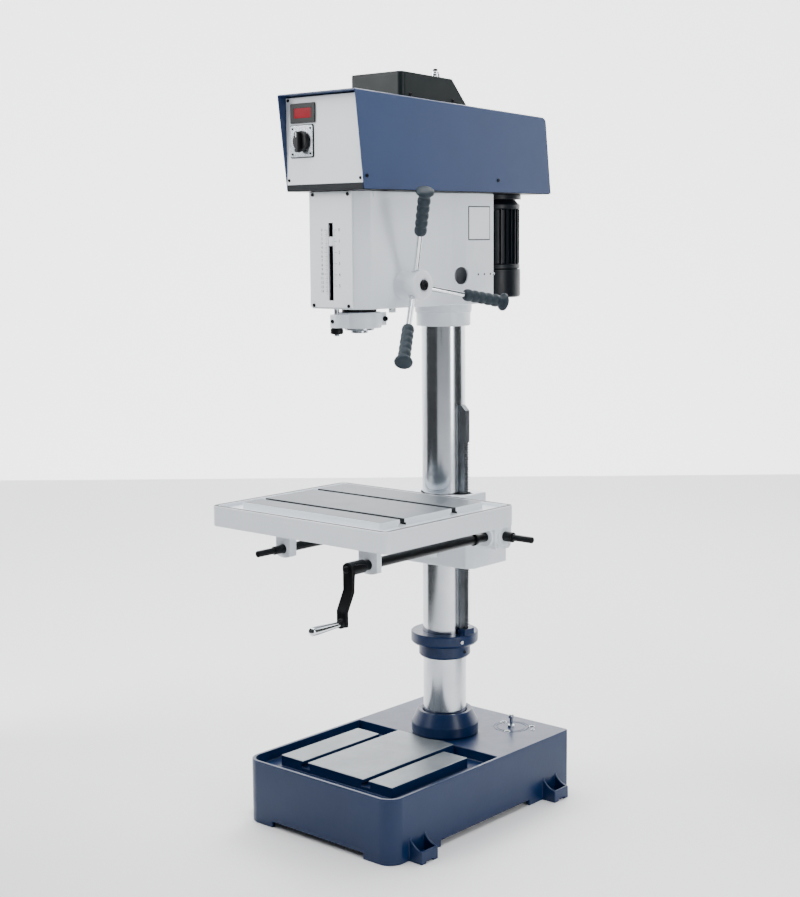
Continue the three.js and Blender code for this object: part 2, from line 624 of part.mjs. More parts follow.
function headCasting() {
  const h = head;
  const feedAxis = [feedY, feed.z];
  const reach = h.half + feed.bossReach;
  const neck = column.radius + h.collarWall;
  let body = pillar(headPlan(0), h.bottom, h.top)
    .subtract(pillar(headPlan(h.wall), h.bottom + h.floor, h.top + skin));
  body = body.add(turned("z", [
    [0, h.collarBottom], [neck - 2, h.collarBottom], [neck, h.collarBottom + 2], [neck, h.bottom - 22],
    [neck + 3, h.bottom - 20], [neck + 3, h.bottom + 1], [0, h.bottom + 1],
  ], [0, 0], 40));
  body = body.add(bar("z", socketRadius, h.bottom, h.socketTop, [0, 0], 36));
  body = body.add(bar("z", guideRadius, h.bottom, h.socketTop, [0, quill.y], 32));
  body = body.add(bar("x", feed.boss, h.half - h.wall, reach, feedAxis, 28));
  body = body.subtract(bar("z", column.radius + fit, h.collarBottom - skin, h.top, [0, 0], 48));
  body = body.subtract(bar("z", quill.radius + fit, h.bottom - skin, h.top, [0, quill.y], 36));
  const tip = feedRadius + feed.module + 2;
  const window = feed.faceHalf + 3;
  body = body.subtract(box(-window, window, quill.y, feedY + tip, feed.z - tip, feed.z + tip));
  body = body.subtract(bar("x", feed.shaft + fit, -h.half - skin, reach + skin, feedAxis, 20));
  body = body.subtract(box(-12, 12, h.front - skin, depth.y + 10, depth.slotBottom - 6, depth.slotTop + 6));
  body = body.subtract(bar("z", depth.rod + 1, h.bottom - skin, depth.slotBottom, [0, depth.y], 16));
  const holeOut = h.rearHalf + skin;
  return body.subtract(bar("x", h.sideHole, socketRadius + 4, holeOut, [h.sideHoleY, h.sideHoleZ], 28));
}

function scalePlate() {
  const d = depth;
  const back = head.front - fit;
  return box(-d.plateHalf, d.plateHalf, back - d.plateThickness, back, head.bottom + 4, head.top - 1)
    .subtract(box(-d.slotHalf, d.slotHalf, back - 2 * d.plateThickness, back + skin,
      d.slotBottom, d.slotTop));
}

// ---------------------------------------------------------------- quill and spindle

function quillSleeve() {
  const q = quill;
  const body = sleeve("z", quillBore, q.radius, q.bottom, q.top, [0, q.y], 1.5, 36);
  const teethLow = feed.z - 3 * feedPitch;
  const count = Math.ceil((q.travel + 6 * feedPitch) / feedPitch);
  const root = quillFlatY - 2.25 * feed.module;
  const out = q.y + q.radius + 5;
  const points = [[out, teethLow], [quillFlatY, teethLow]];
  for (let i = 0; i < count; i++) {
    const z = teethLow + (i + 0.5) * feedPitch;
    const half = feedPitch / 2;
    points.push([quillFlatY, z - half * 0.82], [root, z - half * 0.42], [root, z + half * 0.42],
      [quillFlatY, z + half * 0.82]);
  }
  points.push([quillFlatY, teethLow + count * feedPitch], [out, teethLow + count * feedPitch]);
  return body.subtract(sideProfile(flat(points), -feed.faceHalf, feed.faceHalf));
}

function quillClamp() {
  const c = clamp;
  const top = c.bottom + c.height;
  const outerY = depth.y - 14;
  const rear = quill.y + quill.radius;
  const low = c.bottom + c.earDrop;
  const high = top - c.earDrop;
  return sleeve("z", quill.radius + fit, quill.radius + c.wall, c.bottom, top, [0, quill.y], 1.5, 36)
    .add(pillar(roundedPlan(-c.earHalf, c.earHalf, outerY, quill.y - quill.radius - 4, 10, 1), low, high))
    .add(box(-c.earHalf, c.earHalf, rear + 6, rear + c.pinchEar + 8, low, high))
    .subtract(box(-c.split / 2, c.split / 2, rear - 2, rear + c.pinchEar + 9, c.bottom - skin, top + skin))
    .subtract(bar("z", depth.rod + fit, c.bottom - skin, top + skin, [0, depth.y], 16));
}

function pinchBolt() {
  const y = quill.y + quill.radius + clamp.pinchEar;
  const z = clamp.bottom + clamp.height / 2;
  const face = clamp.earHalf + fit;
  return turned("x", [[0, face], [6.5, face], [6.5, face + 8], [0, face + 8]], [y, z], 12);
}

function quillBumper() {
  const low = clamp.bottom + clamp.height + fit;
  return sleeve("z", quill.radius + fit, quill.radius + bumper.wall, low, low + bumper.height,
    [0, quill.y], 1, 32);
}

function spindleBody() {
  const s = spindle;
  const shoulder = quill.bottom - fit;
  return turned("z", [
    [s.taper, s.bottom], [s.nose - 1, s.bottom], [s.nose, s.bottom + 1], [s.nose, shoulder],
    [s.body, shoulder], [s.body, quill.top], [s.spline, quill.top + 4], [s.spline, s.top], [0, s.top],
    [0, s.bottom + s.socket], [s.taper * 0.75, s.bottom + s.socket], [s.taper, s.bottom],
  ], [0, quill.y], 28);
}

function quillBearing(z) {
  return sleeve("z", spindle.body + fit, quillBore - fit, z, z + bearing.height, [0, quill.y], 1, 24);
}

function depthRod() {
  const low = clamp.bottom - depth.nutHeight - 2;
  return bar("z", depth.rod, low, depth.rodTop, [0, depth.y], 16);
}

function depthPointer() {
  const low = depth.pointerZ - depth.pointerHeight / 2;
  const half = depth.slotHalf - 0.8;
  const front = head.front - fit - depth.plateThickness + 0.6;
  return box(-half - 3, half + 3, head.front + 2, depth.y + depth.rod + 3, low, low + depth.pointerHeight)
    .add(box(-half, half, front, head.front + 3, low, low + depth.pointerHeight))
    .subtract(bar("z", depth.rod + fit, low - 1, low + depth.pointerHeight + 1, [0, depth.y], 16));
}

function depthNut() {
  const top = clamp.bottom + clamp.earDrop - fit;
  return sleeve("z", depth.rod + fit, depth.nut, top - depth.nutHeight, top, [0, depth.y], 2, 20);
}

// ---------------------------------------------------------------- feed

function feedShaft() {
  const capEnd = -head.half - springCap.depth + springCap.wall + 3;
  const tip = feedRadius + feed.module - tipRelief;
  const gear = gearShape(feed.teeth, tip, feedRadius - 1.25 * feed.module, feedPhase());
  return bar("x", feed.shaft, capEnd, hubEnd - 10, [0, 0], 20)
    .add(sideProfile(gear, -feed.faceHalf + 1, feed.faceHalf - 1))
    .translate([0, feedY, feed.z]);
}

// The turn that puts a tooth of the feed pinion into the quill's rack gap: it points at the quill.
function feedPhase() {
  return Math.PI + 0.5 * ((2 * Math.PI) / feed.teeth);
}

const rodOrigin = [hubStart + feed.rodFrom, feedY, feed.z];

// Turns and places a piece that was made along Z from the hub's centre, as the rod number i.
function alongRod(body, i) {
  const lean = THREE.MathUtils.degToRad(feed.lean);
  const turn = THREE.MathUtils.degToRad(feed.firstAngle) + (i * 2 * Math.PI) / feed.rods;
  const direction = new THREE.Vector3(
    Math.sin(lean), Math.cos(lean) * Math.cos(turn), Math.cos(lean) * Math.sin(turn));
  const q = new THREE.Quaternion().setFromUnitVectors(new THREE.Vector3(0, 0, 1), direction);
  const m = new THREE.Matrix4().compose(new THREE.Vector3(...rodOrigin), q, new THREE.Vector3(1, 1, 1));
  return body.transform(m.elements);
}

function feedHub() {
  const f = feed;
  let hub = turned("x", [
    [0, hubStart], [f.hub - 4, hubStart], [f.hub, hubStart + 5], [f.hub, hubEnd - 5],
    [f.hub - 3, hubEnd - 1.2], [f.hub - 6, hubEnd], [0, hubEnd],
  ], [feedY, f.z], 32);
  hub = hub.subtract(bar("x", f.shaft + fit, hubStart - skin, hubEnd - 10 + fit, [feedY, f.z], 20));
  for (let i = 0; i < f.rods; i++) {
    hub = hub.subtract(alongRod(bar("z", f.rod + fit, f.rodIn - fit, f.hub + 30, [0, 0], 16), i));
  }
  return hub;
}

const hubBolt = () => bar("x", 10, hubEnd + fit, hubEnd + 8, [feedY, feed.z], 6);

const gripStartAlong = feed.reach - feed.gripLength;

const feedRod = (i) => alongRod(
  bar("z", feed.rod, feed.rodIn, gripStartAlong + feed.rodInGrip, [0, 0], 16), i);

function feedGrip(i) {
  const f = feed;
  const start = gripStartAlong;
  const bore = f.rod + fit;
  const swell = f.grip - 2.5;
  const bulges = 4;
  const step = (f.gripLength - 22) / bulges;
  const profile = [[bore, start], [swell, start]];
  for (let b = 0; b < bulges; b++) {
    profile.push([f.grip, start + (b + 0.5) * step], [swell, start + (b + 1) * step]);
  }
  const boreEnd = start + f.rodInGrip + fit;
  profile.push([f.gripCap - 2, f.reach - 12], [f.gripCap, f.reach - 6], [f.gripCap * 0.6, f.reach - 1],
    [0, f.reach], [0, boreEnd], [bore, boreEnd], [bore, start]);
  return alongRod(turned("z", profile, [0, 0], 20), i);
}

function springCapBody() {
  const s = springCap;
  const face = -head.half - fit;
  const out = face - s.depth;
  return turned("x", [
    [0, out], [s.radius - 4, out], [s.radius, out + 4], [s.radius, face], [s.radius - s.wall, face],
    [s.radius - s.wall, out + s.wall], [0, out + s.wall],
  ], [feedY, feed.z], 28);
}

function returnSpring() {
  const s = springCap;
  const face = -head.half - fit;
  return sleeve("x", s.springInner, s.springOuter, face - s.depth + s.wall + 5, face - 4,
    [feedY, feed.z], 1, 24);
}

// ---------------------------------------------------------------- hood, panel and top cover

function beltHood() {
  const h = hood;
  const top = (y) => roofZ(y);
  const s = new THREE.Shape();
  const bend = h.rearRadius;
  s.moveTo(h.frontBottom, h.bottom).lineTo(h.rearBottom, h.bottom);
  s.lineTo(h.rearTop + bend * 0.12, top(h.rearTop) - bend);
  s.quadraticCurveTo(h.rearTop, top(h.rearTop), h.rearTop - bend, top(h.rearTop - bend));
  s.lineTo(h.frontTop, top(h.frontTop)).lineTo(h.frontBottom, h.bottom);
  const past = 60;
  const t = h.sheet;
  const inner = new THREE.Shape();
  inner.moveTo(h.frontTop - past, h.bottom - past).lineTo(h.rearBottom - t, h.bottom - past);
  inner.lineTo(h.rearBottom - t, h.bottom);
  inner.lineTo(h.rearTop + bend * 0.12 - t, top(h.rearTop) - bend);
  inner.quadraticCurveTo(h.rearTop - t, top(h.rearTop) - t, h.rearTop - bend - t, top(h.rearTop - bend) - t);
  inner.lineTo(h.frontTop - past, top(h.frontTop - past) - t).lineTo(h.frontTop - past, h.bottom - past);
  return sideProfile(s, -h.half, h.half, 4).subtract(sideProfile(inner, -h.half + t, h.half - t, 4));
}

function hoodPan() {
  const half = hood.half - hood.sheet - fit;
  const rear = hood.rearBottom - hood.sheet - 2;
  const front = panel.y + pan.lipThickness;
  return box(-half, half, front, rear, panBottom, panBottom + pan.sheet)
    .add(box(-half, half, panel.y, front + skin, panBottom, panBottom + pan.lip))
    .subtract(bar("z", guideRadius, panBottom - skin, panBottom + pan.sheet + skin, [0, quill.y], 28))
    .subtract(bar("z", motor.core, panBottom - skin, panBottom + pan.sheet + skin, [0, motor.y], 28));
}

const panelBottom = panBottom + pan.lip + fit;

function controlPanel() {
  const top = panelBottom + panel.height;
  return box(-panel.half, panel.half, panel.y, panel.y + panel.thickness, panelBottom, top)
    .subtract(bar("y", knobSwitch.shaft + fit, panel.y - skin, panel.y + panel.thickness + skin,
      [knobSwitch.x, knobSwitch.z], 16));
}

function tachBezel() {
  const t = tach;
  const face = panel.y - fit;
  const w = t.windowWidth / 2 + fit;
  const h = t.windowHeight / 2 + fit;
  return box(t.x - t.width / 2, t.x + t.width / 2, face - t.thickness, face,
    t.z - t.height / 2, t.z + t.height / 2)
    .subtract(box(t.x - w, t.x + w, face - t.thickness - skin, face + skin, t.z - h, t.z + h));
}

function tachWindow() {
  const t = tach;
  const face = panel.y - fit;
  return box(t.x - t.windowWidth / 2, t.x + t.windowWidth / 2, face - t.thickness + 1, face,
    t.z - t.windowHeight / 2, t.z + t.windowHeight / 2);
}

function switchPlate() {
  const k = knobSwitch;
  const face = panel.y - fit;
  const half = k.plate / 2;
  const outline = roundedPlan(k.x - half, k.x + half, k.z - half, k.z + half, 7);
  return frontProfile(outline, face - k.plateThickness, face, 3)
    .subtract(bar("y", k.shaft + fit, face - k.plateThickness - skin, face + skin, [k.x, k.z], 16));
}

function switchKnob() {
  const k = knobSwitch;
  const face = panel.y - 2 * fit - k.plateThickness;
  const front = face - k.knobDepth;
  const disc = turned("y", [
    [0, face - 8], [k.knob - 1, face - 8], [k.knob, face - 7], [k.knob, face], [k.shaft, face],
    [k.shaft, panel.y + panel.thickness + 8], [0, panel.y + panel.thickness + 8],
  ], [k.x, k.z], 24);
  return disc.add(box(k.x - 6, k.x + 6, front, face - 1, k.z - k.knob * 1.4, k.z + k.knob));
}

function topCoverBody() {
  const c = topCover;
  const sit = (y) => roofZ(y) + fit;
  const drop = hoodSlope * (c.rearTop - c.front);
  const outline = (inset) => flat([
    [c.front + inset, sit(c.front) - inset], [c.front + inset, coverZ - inset],
    [c.rearTop - inset * 0.5, coverZ - drop - inset], [c.rear - inset * 1.5, sit(c.rear) - inset],
  ]);
  const plan = (inset) => roundedPlan(-c.half + inset, c.half - inset, c.front + inset, c.rear + 5,
    c.corner - inset, 2);
  const span = [sit(c.rear) - 10, coverZ + 10];
  const outer = sideProfile(outline(0), -c.half, c.half).intersect(pillar(plan(0), ...span));
  const hollow = sideProfile(outline(c.sheet), -c.half, c.half).intersect(pillar(plan(c.sheet), ...span));
  return outer.subtract(hollow);
}

function topFitting() {
  const f = fitting;
  const low = coverZ - hoodSlope * (f.y - topCover.front) + f.rise;
  return turned("z", [
    [0, low], [f.radius, low], [f.radius, low + 3], [f.radius - 2, low + 3.5], [f.radius - 2, low + f.height - 6],
    [f.radius - 6, low + f.height - 5], [f.radius - 6, low + f.height], [0, low + f.height],
  ], [f.x, f.y], 20);
}

// ---------------------------------------------------------------- drive

// A flat pulley with a hub below it, bored for its shaft.
function pulley(radius, bore, hub, hubDrop, y) {
  const z0 = drive.z;
  const z1 = z0 + drive.faceHeight;
  return turned("z", [
    [bore, z0 - hubDrop], [hub, z0 - hubDrop], [hub, z0], [radius, z0], [radius, z1], [bore, z1],
    [bore, z0 - hubDrop],
  ], [0, y], 32);
}

function driveBelt() {
  const loop = (offset) => {
    const a = drive.spindlePulley + offset;
    const b = drive.motorPulley + offset;
    const distance = motor.y - quill.y;
    const tilt = Math.asin((a - b) / distance);
    const s = new THREE.Shape();
    s.absarc(0, quill.y, a, Math.PI - tilt, 2 * Math.PI + tilt);
    s.absarc(0, motor.y, b, tilt, Math.PI - tilt);
    return s;
  };
  const z0 = drive.z + (drive.faceHeight - drive.beltHeight) / 2;
  const z1 = z0 + drive.beltHeight;
  return pillar(loop(fit + drive.belt), z0, z1, 16)
    .subtract(pillar(loop(fit), z0 - skin, z1 + skin, 16));
}

function motorBody() {
  const m = motor;
  const hole = m.shaft + fit;
  const inner = m.radius - m.shell;
  const half = m.boxSide / 2;
  const terminalBox = box(-m.radius - m.boxDepth, -inner - 2, m.y - half, m.y + half, m.boxZ - half, m.boxZ + half)
    .subtract(bar("z", inner + 2, m.boxZ - half - skin, m.boxZ + half + skin, [0, m.y], 36));
  return turned("z", [
    [hole, m.bottom], [m.radius - 5, m.bottom], [m.radius, m.bottom + 5], [m.radius, m.top - m.shoulder],
    [m.radius - m.shoulder, m.top], [hole, m.top], [hole, m.top - m.shell], [inner, m.top - m.shell],
    [inner, m.bottom + m.shell], [hole, m.bottom + m.shell], [hole, m.bottom],
  ], [0, m.y], 36).add(terminalBox);
}

function motorFlange() {
  const m = motor;
  const z0 = m.top + fit;
  return sleeve("z", m.shaft + fit, m.flange, z0, panBottom - fit, [0, m.y], 1.5, 36);
}

function motorFanCover() {
  const m = motor;
  const top = m.bottom - fit;
  const low = top - m.fanHeight;
  return turned("z", [
    [0, low], [m.fanCover - 3, low], [m.fanCover, low + 3], [m.fanCover, top], [m.fanCover - 2, top],
    [m.fanCover - 2, low + 4], [0, low + 4],
  ], [0, m.y], 36);
}

function motorRotor() {
  const m = motor;
  const low = m.bottom + m.shell + 4;
  const high = m.top - m.shell - 4;
  return turned("z", [
    [0, m.bottom - 30], [m.shaft, m.bottom - 30], [m.shaft, low], [m.core, low], [m.core, high], [m.shaft, high],
    [m.shaft, drive.z + drive.faceHeight + 4], [0, drive.z + drive.faceHeight + 4],
  ], [0, m.y], 24);
}

const cableGland = () => turned("z", [
  [0, motor.boxZ - motor.boxSide / 2 - 24], [8, motor.boxZ - motor.boxSide / 2 - 24],
  [11, motor.boxZ - motor.boxSide / 2 - 16], [11, motor.boxZ - motor.boxSide / 2 - fit],
  [0, motor.boxZ - motor.boxSide / 2 - fit],
], [-motor.radius - motor.boxDepth / 2, motor.y], 16);

// ---------------------------------------------------------------- assembly

add("base_casting", baseCasting(), navyEnamel());
add("sump_cover", sumpCover(), navyEnamel());
add("sump_bolt", sumpBolt(), blackOxide());
add("column_flange", columnFlange(), navyEnamel());
add("column_tube", columnTube(), groundSteel());
add("stop_collar", stopCollar(), navyEnamel());
add("rack_ring", rackRing(), navyEnamel());
add("rack_bar", rackBar(), groundSteel());

add("table_bracket", tableBracket(), whiteEnamel());
add("table_top", tableTop(), machinedIron());
add("shaft_hanger", hanger(shaft.x, shaft.z, shaft.radius, shaft.hangerHalf, shaft.hangerDepth), whiteEnamel());
add("lock_hanger", hanger(lockRod.x, lockRod.z, lockRod.radius, lockRod.hangerHalf, lockRod.hangerDepth),
  whiteEnamel());
add("gear_case", gearCaseBody(), whiteEnamel());
add("lift_pinion", liftPinion(), groundSteel());
add("cross_shaft", crossShaftBody(), blackOxide());
add("crank_shaft", crankShaft(), blackOxide());
add("crank_arm", crankArm(), blackOxide());
add("crank_nut", crankNut(), blackOxide());
add("crank_grip", crankGrip(), chrome());
add("lock_rod", lockRodBody(), blackOxide());

add("head_casting", headCasting(), whiteEnamel());
add("scale_plate", scalePlate(), whiteEnamel());
add("quill_sleeve", quillSleeve(), groundSteel());
add("quill_clamp", quillClamp(), whiteEnamel());
add("pinch_bolt", pinchBolt(), blackOxide());
add("quill_bumper", quillBumper(), blackPlastic());
add("lower_bearing", quillBearing(quill.bottom + bearing.inset), groundSteel());
add("upper_bearing", quillBearing(quill.top - bearing.inset - bearing.height), groundSteel());
add("spindle", spindleBody(), groundSteel());
add("depth_rod", depthRod(), groundSteel());
add("depth_pointer", depthPointer(), whiteEnamel());
add("depth_nut", depthNut(), blackOxide());

add("feed_shaft", feedShaft(), groundSteel());
add("feed_hub", feedHub(), whiteEnamel());
add("hub_bolt", hubBolt(), blackOxide());
for (let i = 0; i < feed.rods; i++) {
  add(`feed_rod_${i + 1}`, feedRod(i), chrome());
  add(`feed_grip_${i + 1}`, feedGrip(i), slateRubber());
}
add("spring_cap", springCapBody(), blackEnamel());
add("return_spring", returnSpring(), groundSteel());

add("belt_hood", beltHood(), hoodEnamel());
add("hood_pan", hoodPan(), blackEnamel());
add("control_panel", controlPanel(), whiteEnamel());
add("tach_bezel", tachBezel(), blackPlastic());
add("tach_window", tachWindow(), finish("#b3122a", 0.3, 0));
add("switch_plate", switchPlate(), chrome());
add("switch_knob", switchKnob(), blackPlastic());
add("top_cover", topCoverBody(), blackEnamel());
add("top_fitting", topFitting(), chrome());

add("spindle_pulley", pulley(drive.spindlePulley, spindle.spline + fit, 22, 38, quill.y), machinedIron());
add("motor_pulley", pulley(drive.motorPulley, motor.shaft + fit, 18, 0, motor.y), machinedIron());
add("drive_belt", driveBelt(), blackPlastic());
add("motor_body", motorBody(), blackEnamel());
add("motor_flange", motorFlange(), blackEnamel());
add("motor_fan_cover", motorFanCover(), blackEnamel());
add("motor_rotor", motorRotor(), groundSteel());
add("cable_gland", cableGland(), blackPlastic());

// The origin is on the floor, under the middle of the whole press.
const extent = new THREE.Box3().setFromObject(press);
const middle = extent.getCenter(new THREE.Vector3());
press.position.set(-middle.x, -middle.y, -extent.min.z);
const drillPress = new THREE.Group();
drillPress.add(press);

export default drillPress;
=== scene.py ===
import math

import bmesh
import bpy
from mathutils import Matrix, Vector


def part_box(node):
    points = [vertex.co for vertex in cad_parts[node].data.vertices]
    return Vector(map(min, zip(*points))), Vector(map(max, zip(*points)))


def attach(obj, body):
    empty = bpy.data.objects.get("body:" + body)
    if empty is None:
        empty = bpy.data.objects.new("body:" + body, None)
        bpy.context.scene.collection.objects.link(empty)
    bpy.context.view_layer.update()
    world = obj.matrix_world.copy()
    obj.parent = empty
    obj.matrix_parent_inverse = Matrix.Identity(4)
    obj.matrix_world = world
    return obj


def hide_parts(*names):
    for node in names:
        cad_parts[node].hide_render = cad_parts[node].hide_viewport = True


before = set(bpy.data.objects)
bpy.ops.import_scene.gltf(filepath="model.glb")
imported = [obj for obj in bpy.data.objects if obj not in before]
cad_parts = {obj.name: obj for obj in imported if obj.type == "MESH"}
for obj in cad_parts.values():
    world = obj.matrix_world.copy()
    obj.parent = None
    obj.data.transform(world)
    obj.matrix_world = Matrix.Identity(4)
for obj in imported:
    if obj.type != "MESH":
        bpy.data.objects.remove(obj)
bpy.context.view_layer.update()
mm = 0.001
columnLow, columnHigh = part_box("column_tube")
columnTop = 1500
columnX = (columnLow.x + columnHigh.x) / 2
columnY = (columnLow.y + columnHigh.y) / 2
print("frame loaded")


# x, y, z in millimetres as a point in metres: x and y from the column's centre line, z so that the
# column ends at columnTop
def place(x, y, z):
    return Vector((columnX + x * mm, columnY + y * mm, columnHigh.z + (z - columnTop) * mm))


# a point's height in the same millimetres
def heightOf(point):
    return (point.z - columnHigh.z) / mm + columnTop


# ------- camera, light and floor

camera = {"place": (2486.9, -2996.0, 1430.5), "azimuth": 41.326, "dip": 7.669, "roll": -0.446,
          "lens": 62.36}
studio = {"world": "#e8eef6", "worldStrength": 0.3, "floor": "#fafafa", "floorSize": 24,
          "backdrop": "#ffffff", "backdropStrength": 2.2, "backdropDistance": 5.5,
          "flag": "#08090a", "flagHeight": 1.3, "flags": ((-1.6, -2.4, 0.5), (1.5, -0.75, 0.5)),
          "target": (0, 0, 1.0),
          "lights": (("keyLight", (-2.6, -3.4, 3.4), (2.2, 2.6), 260),
                     ("sideLight", (4.2, -0.2, 1.9), (0.9, 3.0), 85),
                     ("topLight", (0.2, -0.4, 4.4), (3.0, 3.0), 160),
                     ("backLight", (-1.6, 3.6, 3.8), (2.0, 2.0), 120))}


def hexColor(value):
    parts = [int(value[i:i + 2], 16) / 255 for i in (1, 3, 5)]
    linear = [c / 12.92 if c <= 0.04045 else ((c + 0.055) / 1.055) ** 2.4 for c in parts]
    return (*linear, 1)


def addCamera():
    data = bpy.data.cameras.new("camera")
    data.lens = camera["lens"]
    data.sensor_width = 36
    data.clip_end = 100
    item = bpy.data.objects.new("camera", data)
    bpy.context.scene.collection.objects.link(item)
    turn = Matrix.Rotation(math.radians(camera["azimuth"]), 4, "Z")
    tip = Matrix.Rotation(math.radians(90 - camera["dip"]), 4, "X")
    roll = Matrix.Rotation(math.radians(camera["roll"]), 4, "Z")
    item.matrix_world = Matrix.Translation(place(*camera["place"])) @ turn @ tip @ roll
    bpy.context.scene.camera = item


# a soft box light that points at a spot on the machine
def addSoftbox(name, where, target, size, power):
    data = bpy.data.lights.new(name, "AREA")
    data.shape = "RECTANGLE"
    data.size, data.size_y = size
    data.energy = power
    item = bpy.data.objects.new(name, data)
    bpy.context.scene.collection.objects.link(item)
    item.location = Vector(where)
    item.rotation_mode = "QUATERNION"
    item.rotation_quaternion = (Vector(target) - item.location).to_track_quat("-Z", "Y")


# one node with its settings and its links
def addNode(tree, kind, settings=None, links=None):
    node = tree.nodes.new(kind)
    for key, value in (settings or {}).items():
        if isinstance(key, str) and hasattr(node, key):
            setattr(node, key, value)
        else:
            node.inputs[key].default_value = value
    for key, source in (links or {}).items():
        tree.links.new(source, node.inputs[key])
    return node


# a new material, its node tree and its shader
def newFinish(name):
    finish = bpy.data.materials.new(name)
    finish.use_nodes = True
    tree = finish.node_tree
    return finish, tree, tree.nodes["Principled BSDF"]


# a plain finish of the studio, with its shader
def studioFinish(name, color):
    finish, _, shader = newFinish(name)
    shader.inputs["Base Color"].default_value = hexColor(color)
    return finish, shader


# a large flat sheet of the studio
def addSheet(name, where, finish, size=studio["floorSize"]):
    bm = bmesh.new()
    bmesh.ops.create_grid(bm, x_segments=1, y_segments=1, size=size)
    bmesh.ops.transform(bm, matrix=where, verts=bm.verts)
    mesh = bpy.data.meshes.new(name)
    bm.to_mesh(mesh)
    bm.free()
    mesh.materials.append(finish)
    sheet = bpy.data.objects.new(name, mesh)
    bpy.context.scene.collection.objects.link(sheet)


def addStudio():
    world = bpy.data.worlds.new("studio")
    bpy.context.scene.world = world
    world.use_nodes = True
    background = world.node_tree.nodes["Background"]
    background.inputs["Color"].default_value = hexColor(studio["world"])
    background.inputs["Strength"].default_value = studio["worldStrength"]
    for name, where, size, power in studio["lights"]:
        addSoftbox(name, where, studio["target"], size, power)
    finish, shader = studioFinish("palePaintedFloor", studio["floor"])
    shader.inputs["Roughness"].default_value = 0.7
    addSheet("studioFloor", Matrix.Identity(4), finish)
    away = Matrix.Rotation(math.radians(camera["azimuth"]), 4, "Z")
    # a lit white wall behind the machine, square to the camera's direction
    finish, shader = studioFinish("litBackdrop", studio["backdrop"])
    shader.inputs["Emission Color"].default_value = hexColor(studio["backdrop"])
    shader.inputs["Emission Strength"].default_value = studio["backdropStrength"]
    upright = Matrix.Rotation(math.radians(90), 4, "X")
    upright = Matrix.Translation((0, studio["backdropDistance"], 0)) @ upright
    addSheet("studioBackdrop", away @ upright, finish)
    # black flags at both sides, out of view, that draw dark streaks on the bright metal
    finish, shader = studioFinish("blackFlagCloth", studio["flag"])
    for number, (across, near, far) in enumerate(studio["flags"], 1):
        size = Matrix.Diagonal((studio["flagHeight"] / 2, (far - near) / 2, 1, 1))
        standing = Matrix.Translation((across, (near + far) / 2, studio["flagHeight"] / 2 + 0.01))
        edgeOn = Matrix.Rotation(math.radians(90), 4, "Y")
        addSheet(f"studioFlag{number}", away @ standing @ edgeOn @ size, finish, 1)


addCamera()
addStudio()
print("camera, light and floor set")


# ------- finishes

# noise in the given space, with features of the given size
def addNoise(tree, where, size, detail):
    return addNode(tree, "ShaderNodeTexNoise", {"Scale": 1 / size, "Detail": detail},
                   {"Vector": where}).outputs[0]


# lets a factor drive the shader's colour from the first to the second
def driveColor(tree, shader, first, second, factor):
    mixed = addNode(tree, "ShaderNodeMix", {"data_type": "RGBA", 6: hexColor(first), 7: hexColor(second)},
                    {0: factor})
    tree.links.new(mixed.outputs[2], shader.inputs["Base Color"])


# lets a factor drive the shader's roughness from low to high
def driveRoughness(tree, shader, low, high, factor):
    spread = addNode(tree, "ShaderNodeMapRange", {"To Min": low, "To Max": high}, {"Value": factor})
    tree.links.new(spread.outputs[0], shader.inputs["Roughness"])


# relief of the given depth in millimetres
def addBump(tree, strength, depth, links):
    return addNode(tree, "ShaderNodeBump", {"Strength": strength, "Distance": depth * mm}, links).outputs[0]


# a sprayed paint: colour clouds, orange peel from spraying and the casting's slow waves under it
def paintFinish(name, color, cloud, roughness, peelSize, peelDepth, castSize=0, castDepth=0, coat=0,
                specular=0.5):
    finish, tree, shader = newFinish(name)
    where = addNode(tree, "ShaderNodeTexCoord").outputs["Object"]
    driveColor(tree, shader, color, cloud, addNoise(tree, where, 0.11, 4.0))
    gloss = addNoise(tree, where, 0.035, 3.0)
    driveRoughness(tree, shader, roughness - 0.05, roughness + 0.07, gloss)
    bump = addBump(tree, 0.35, peelDepth, {"Height": addNoise(tree, where, peelSize * mm, 1.0)})
    if castDepth:
        cast = addNoise(tree, where, castSize * mm, 2.0)
        bump = addBump(tree, 0.5, castDepth, {"Height": cast, "Normal": bump})
    tree.links.new(bump, shader.inputs["Normal"])
    shader.inputs["Coat Weight"].default_value = coat
    shader.inputs["Coat Roughness"].default_value = 0.12
    shader.inputs["Specular IOR Level"].default_value = specular
    return finish


# a metal with fine machining lines: stretch says how long the lines are along each axis
def metalFinish(name, color, shade, roughness, lineSize, stretch, lineDepth, metallic=1.0,
                anisotropic=0.0, specular=0.5):
    finish, tree, shader = newFinish(name)
    where = addNode(tree, "ShaderNodeTexCoord").outputs["Object"]
    scale = [1 / (lineSize * mm * s) for s in stretch]
    lines = addNode(tree, "ShaderNodeMapping", {"Scale": scale}, {"Vector": where})
    marks = addNoise(tree, lines.outputs[0], 1, 3.0)
    blotch = addNoise(tree, where, 0.06, 5.0)
    both = addNode(tree, "ShaderNodeMath", {"operation": "MULTIPLY"}, {0: marks, 1: blotch})
    tone = addNode(tree, "ShaderNodeMapRange", {"From Min": 0.1, "From Max": 0.45},
                   {"Value": both.outputs[0]})
    driveColor(tree, shader, shade, color, tone.outputs[0])
    driveRoughness(tree, shader, roughness * 0.8, roughness * 1.3, marks)
    tree.links.new(addBump(tree, 0.3, lineDepth, {"Height": marks}), shader.inputs["Normal"])
    shader.inputs["Metallic"].default_value = metallic
    shader.inputs["Anisotropic"].default_value = anisotropic
    shader.inputs["Specular IOR Level"].default_value = specular
    return finish


